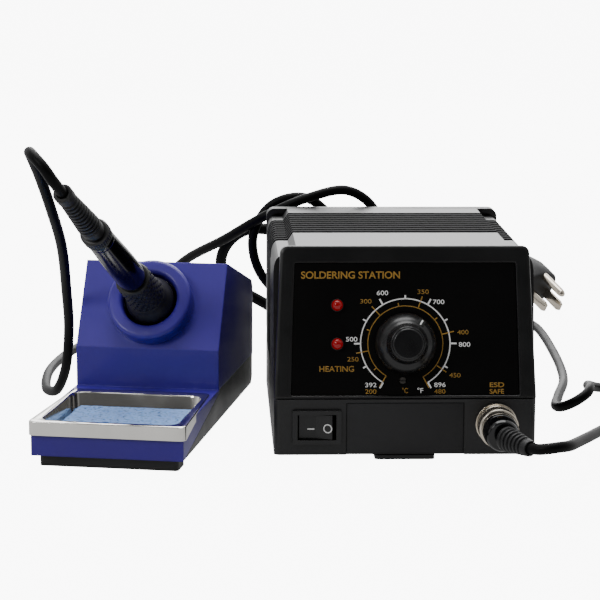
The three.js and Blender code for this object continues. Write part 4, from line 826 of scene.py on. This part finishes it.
def sponge_mesh():
    mesh = bmesh.new()
    x0, x1, y0, y1 = -28.4, 28.4, 5.0, 60.2
    low, high = 10.15, 16.0
    nx, ny = 150, 146
    grid = []
    for j in range(ny + 1):
        row = []
        for i in range(nx + 1):
            x = x0 + (x1 - x0) * i / nx
            y = y0 + (y1 - y0) * j / ny
            rim = min(x - x0, x1 - x, y - y0, y1 - y)
            z = high - 1.2 * (1 - ramp(rim, 0, 2.2)) - 0.25
            p = Vector((x, y, 0))
            big = noise.voronoi(p * 0.42)[0][0]
            small = noise.voronoi(p * 1.1 + Vector((7, 3, 0)))[0][0]
            z -= 1.0 * (1 - ramp(big, 0.10, 0.34)) * (noise.noise(p * 0.6) > -0.12)
            z -= 0.45 * (1 - ramp(small, 0.08, 0.36))
            z += 0.22 * noise.noise(p * 0.12) + 0.12 * noise.noise(p * 1.7)
            row.append(mesh.verts.new((x, y, z)))
        grid.append(row)
    for j in range(ny):
        for i in range(nx):
            mesh.faces.new((grid[j][i], grid[j][i + 1], grid[j + 1][i + 1], grid[j + 1][i]))
    border = [grid[0][i] for i in range(nx)] + [grid[j][nx] for j in range(ny)]
    border += [grid[ny][i] for i in range(nx, 0, -1)] + [grid[j][0] for j in range(ny, 0, -1)]
    base = [mesh.verts.new((v.co.x, v.co.y, low)) for v in border]
    for i in range(len(border)):
        j = (i + 1) % len(border)
        mesh.faces.new((border[j], border[i], base[i], base[j]))
    mesh.faces.new(base)
    return mesh


sponge = piece("sponge_cellulose", sponge_mesh(), sponge_color, "sponge_body", ["sponge"],
               STAND, 60)
print("sponge", len(sponge.data.polygons), "faces")

# %% [markdown]
# ## Iron
# The handpiece stands in the collar, leaning a little. Its rubber grip flares where it sits in
# the hole and has rows of short raised bars; the barrel above it is polished, and a tapering
# strain relief ends in a cup.

# %% handpiece
def grip_shape(turn, r, h):
    """Rows of short bars round the grip between the flare and the barrel."""
    if 5.5 < h < 24.5:
        row = int((h - 5.5) / 2.4)
        in_row = (h - 5.5) % 2.4
        bar = cos(18 * turn + (pi if row % 2 else 0.0)) > -0.45
        return r + (0.32 if bar and 0.5 < in_row < 2.0 else 0.0)
    return r


def grip_profile():
    points = [(5.0, -4.5), (10.9, -4.5), (11.7, -3.5), (11.7, -1.0), (10.9, 1.2), (9.9, 3.4), (9.4, 5.4)]
    h = 5.5
    while h < 24.6:
        r = 8.35 + 0.9 * max(0.0, (14 - h) / 9) ** 1.4
        points.append((r, h, 0))
        h += 0.24
    return points + [(8.4, 25.2), (7.8, 26.0), (5.0, 26.0)]


piece("grip_moulded", lathe(grip_profile(), 216, 0.3, True, grip_shape), rubber, "iron",
      ["iron_grip"], IRON, 50)
barrel_profile = [(0, -3.5), (4.7, -3.5), (4.7, 26.3), (6.6, 26.3), (7.1, 27.0), (7.1, 46.0, 3.0),
                  (6.3, 72.5), (6.5, 73.2), (6.5, 75.8), (6.1, 76.7), (0, 76.7)]
piece("barrel_polished", lathe(barrel_profile, 96, 0.4), gloss, "iron", ["iron_barrel"],
      IRON)
nut_profile = [(0, 77.0), (6.3, 77.0), (6.9, 77.6), (6.9, 81.6), (6.2, 82.7), (0, 82.7)]
piece("end_nut_fluted", lathe(nut_profile, 144, 0.3, False, knurl(0.3, 36, 77.8, 81.4)), nylon,
      "iron", ["iron_end_nut"], IRON)
relief_profile = [(0, 83.0), (5.2, 83.0), (5.2, 88.2)]
for k in range(10):
    r, h = 5.5 - 0.15 * k, 88.6 + 2.85 * k
    relief_profile += [(r - 1.1, h), (r - 1.1, h + 1.0), (r, h + 1.2), (r - 0.05, h + 2.65)]
relief_profile += [(3.0, 117.4), (3.0, 118.6), (4.3, 119.2), (4.4, 124.4), (3.9, 125.0), (2.7, 125.0),
                   (2.7, 123.0), (0, 123.0)]
piece("strain_relief", lathe(relief_profile, 72, 0.2), rubber, "iron", ["iron_boot"], IRON)

# %% [markdown]
# ## Studio
# A pale sweep of floor, a wide soft light over the set, one from the left front and one behind
# for the pale reflections on the top of the case.

# %% floor and lights
floor_mesh = bpy.data.meshes.new("floor")
floor_mesh.from_pydata([(-6, -4, 0), (6, -4, 0), (6, 8, 0), (-6, 8, 0)], [], [(0, 1, 2, 3)])
floor = bpy.data.objects.new("floor", floor_mesh)
bpy.context.scene.collection.objects.link(floor)
floor_white = surface("floor_paper_white", "7c7c7c", 0.8, 0.5, 0.01, variation=0.005, patch=400,
                      wear=0.0)
seen = node(floor_white.node_tree, "ShaderNodeLightPath").outputs["Is Camera Ray"]
shone = node(floor_white.node_tree, "ShaderNodeLightPath").outputs["Is Glossy Ray"]
in_metal = node(floor_white.node_tree, "ShaderNodeMath", {0: shone, 1: 0.45}, operation="MULTIPLY")
floor_glow = node(floor_white.node_tree, "ShaderNodeMath", {0: seen, 1: 9.0,
                                                            2: in_metal.outputs["Value"]},
                  operation="MULTIPLY_ADD")
floor_shader = floor_white.node_tree.nodes["Principled BSDF"]
floor_shader.inputs["Emission Color"].default_value = (1.0, 1.0, 1.0, 1.0)
floor_white.node_tree.links.new(floor_glow.outputs["Value"], floor_shader.inputs["Emission Strength"])
floor_mesh.materials.append(floor_white)

# the surroundings are bright behind and above, and dim on the camera's side
world = bpy.data.worlds.new("studio")
bpy.context.scene.world = world
world.use_nodes = True
sky = world.node_tree
toward = node(sky, "ShaderNodeSeparateXYZ", {0: node(sky, "ShaderNodeTexCoord").outputs["Generated"]})
depth_light = node(sky, "ShaderNodeMapRange", {"Value": toward.outputs["Y"], "From Min": -0.7,
                                               "From Max": 0.9, "To Min": 0.03, "To Max": 1.3})
height_light = node(sky, "ShaderNodeMapRange", {"Value": toward.outputs["Z"], "From Min": 0.0,
                                                "From Max": 1.0, "To Min": 0.0, "To Max": 0.25})
both = node(sky, "ShaderNodeMath", {0: depth_light.outputs["Result"],
                                    1: height_light.outputs["Result"]}, operation="ADD")
to_camera = node(sky, "ShaderNodeLightPath").outputs["Is Camera Ray"]
strength = node(sky, "ShaderNodeMix", {"Factor": to_camera, 2: both.outputs["Value"], 3: 9.0})
sky.links.new(strength.outputs[0], sky.nodes["Background"].inputs["Strength"])
sky.nodes["Background"].inputs["Color"].default_value = (1.0, 1.0, 1.0, 1.0)


def softbox(name, place, target, size, power):
    data = bpy.data.lights.new(name, "AREA")
    data.shape = "DISK"
    data.size = size
    data.energy = power
    lamp = bpy.data.objects.new(name, data)
    bpy.context.scene.collection.objects.link(lamp)
    aim = (Vector(target) - Vector(place)).to_track_quat("-Z", "Y")
    lamp.matrix_world = Matrix.Translation(place) @ aim.to_matrix().to_4x4()


softbox("overhead", (-0.1, 0.35, 1.5), (-0.05, 0.05, 0.0), 1.2, 17)
softbox("left_front", (-1.1, -1.0, 0.9), (-0.05, 0.0, 0.06), 0.5, 7)
softbox("behind", (0.1, 1.7, 0.9), (0.0, 0.1, 0.08), 1.4, 16)
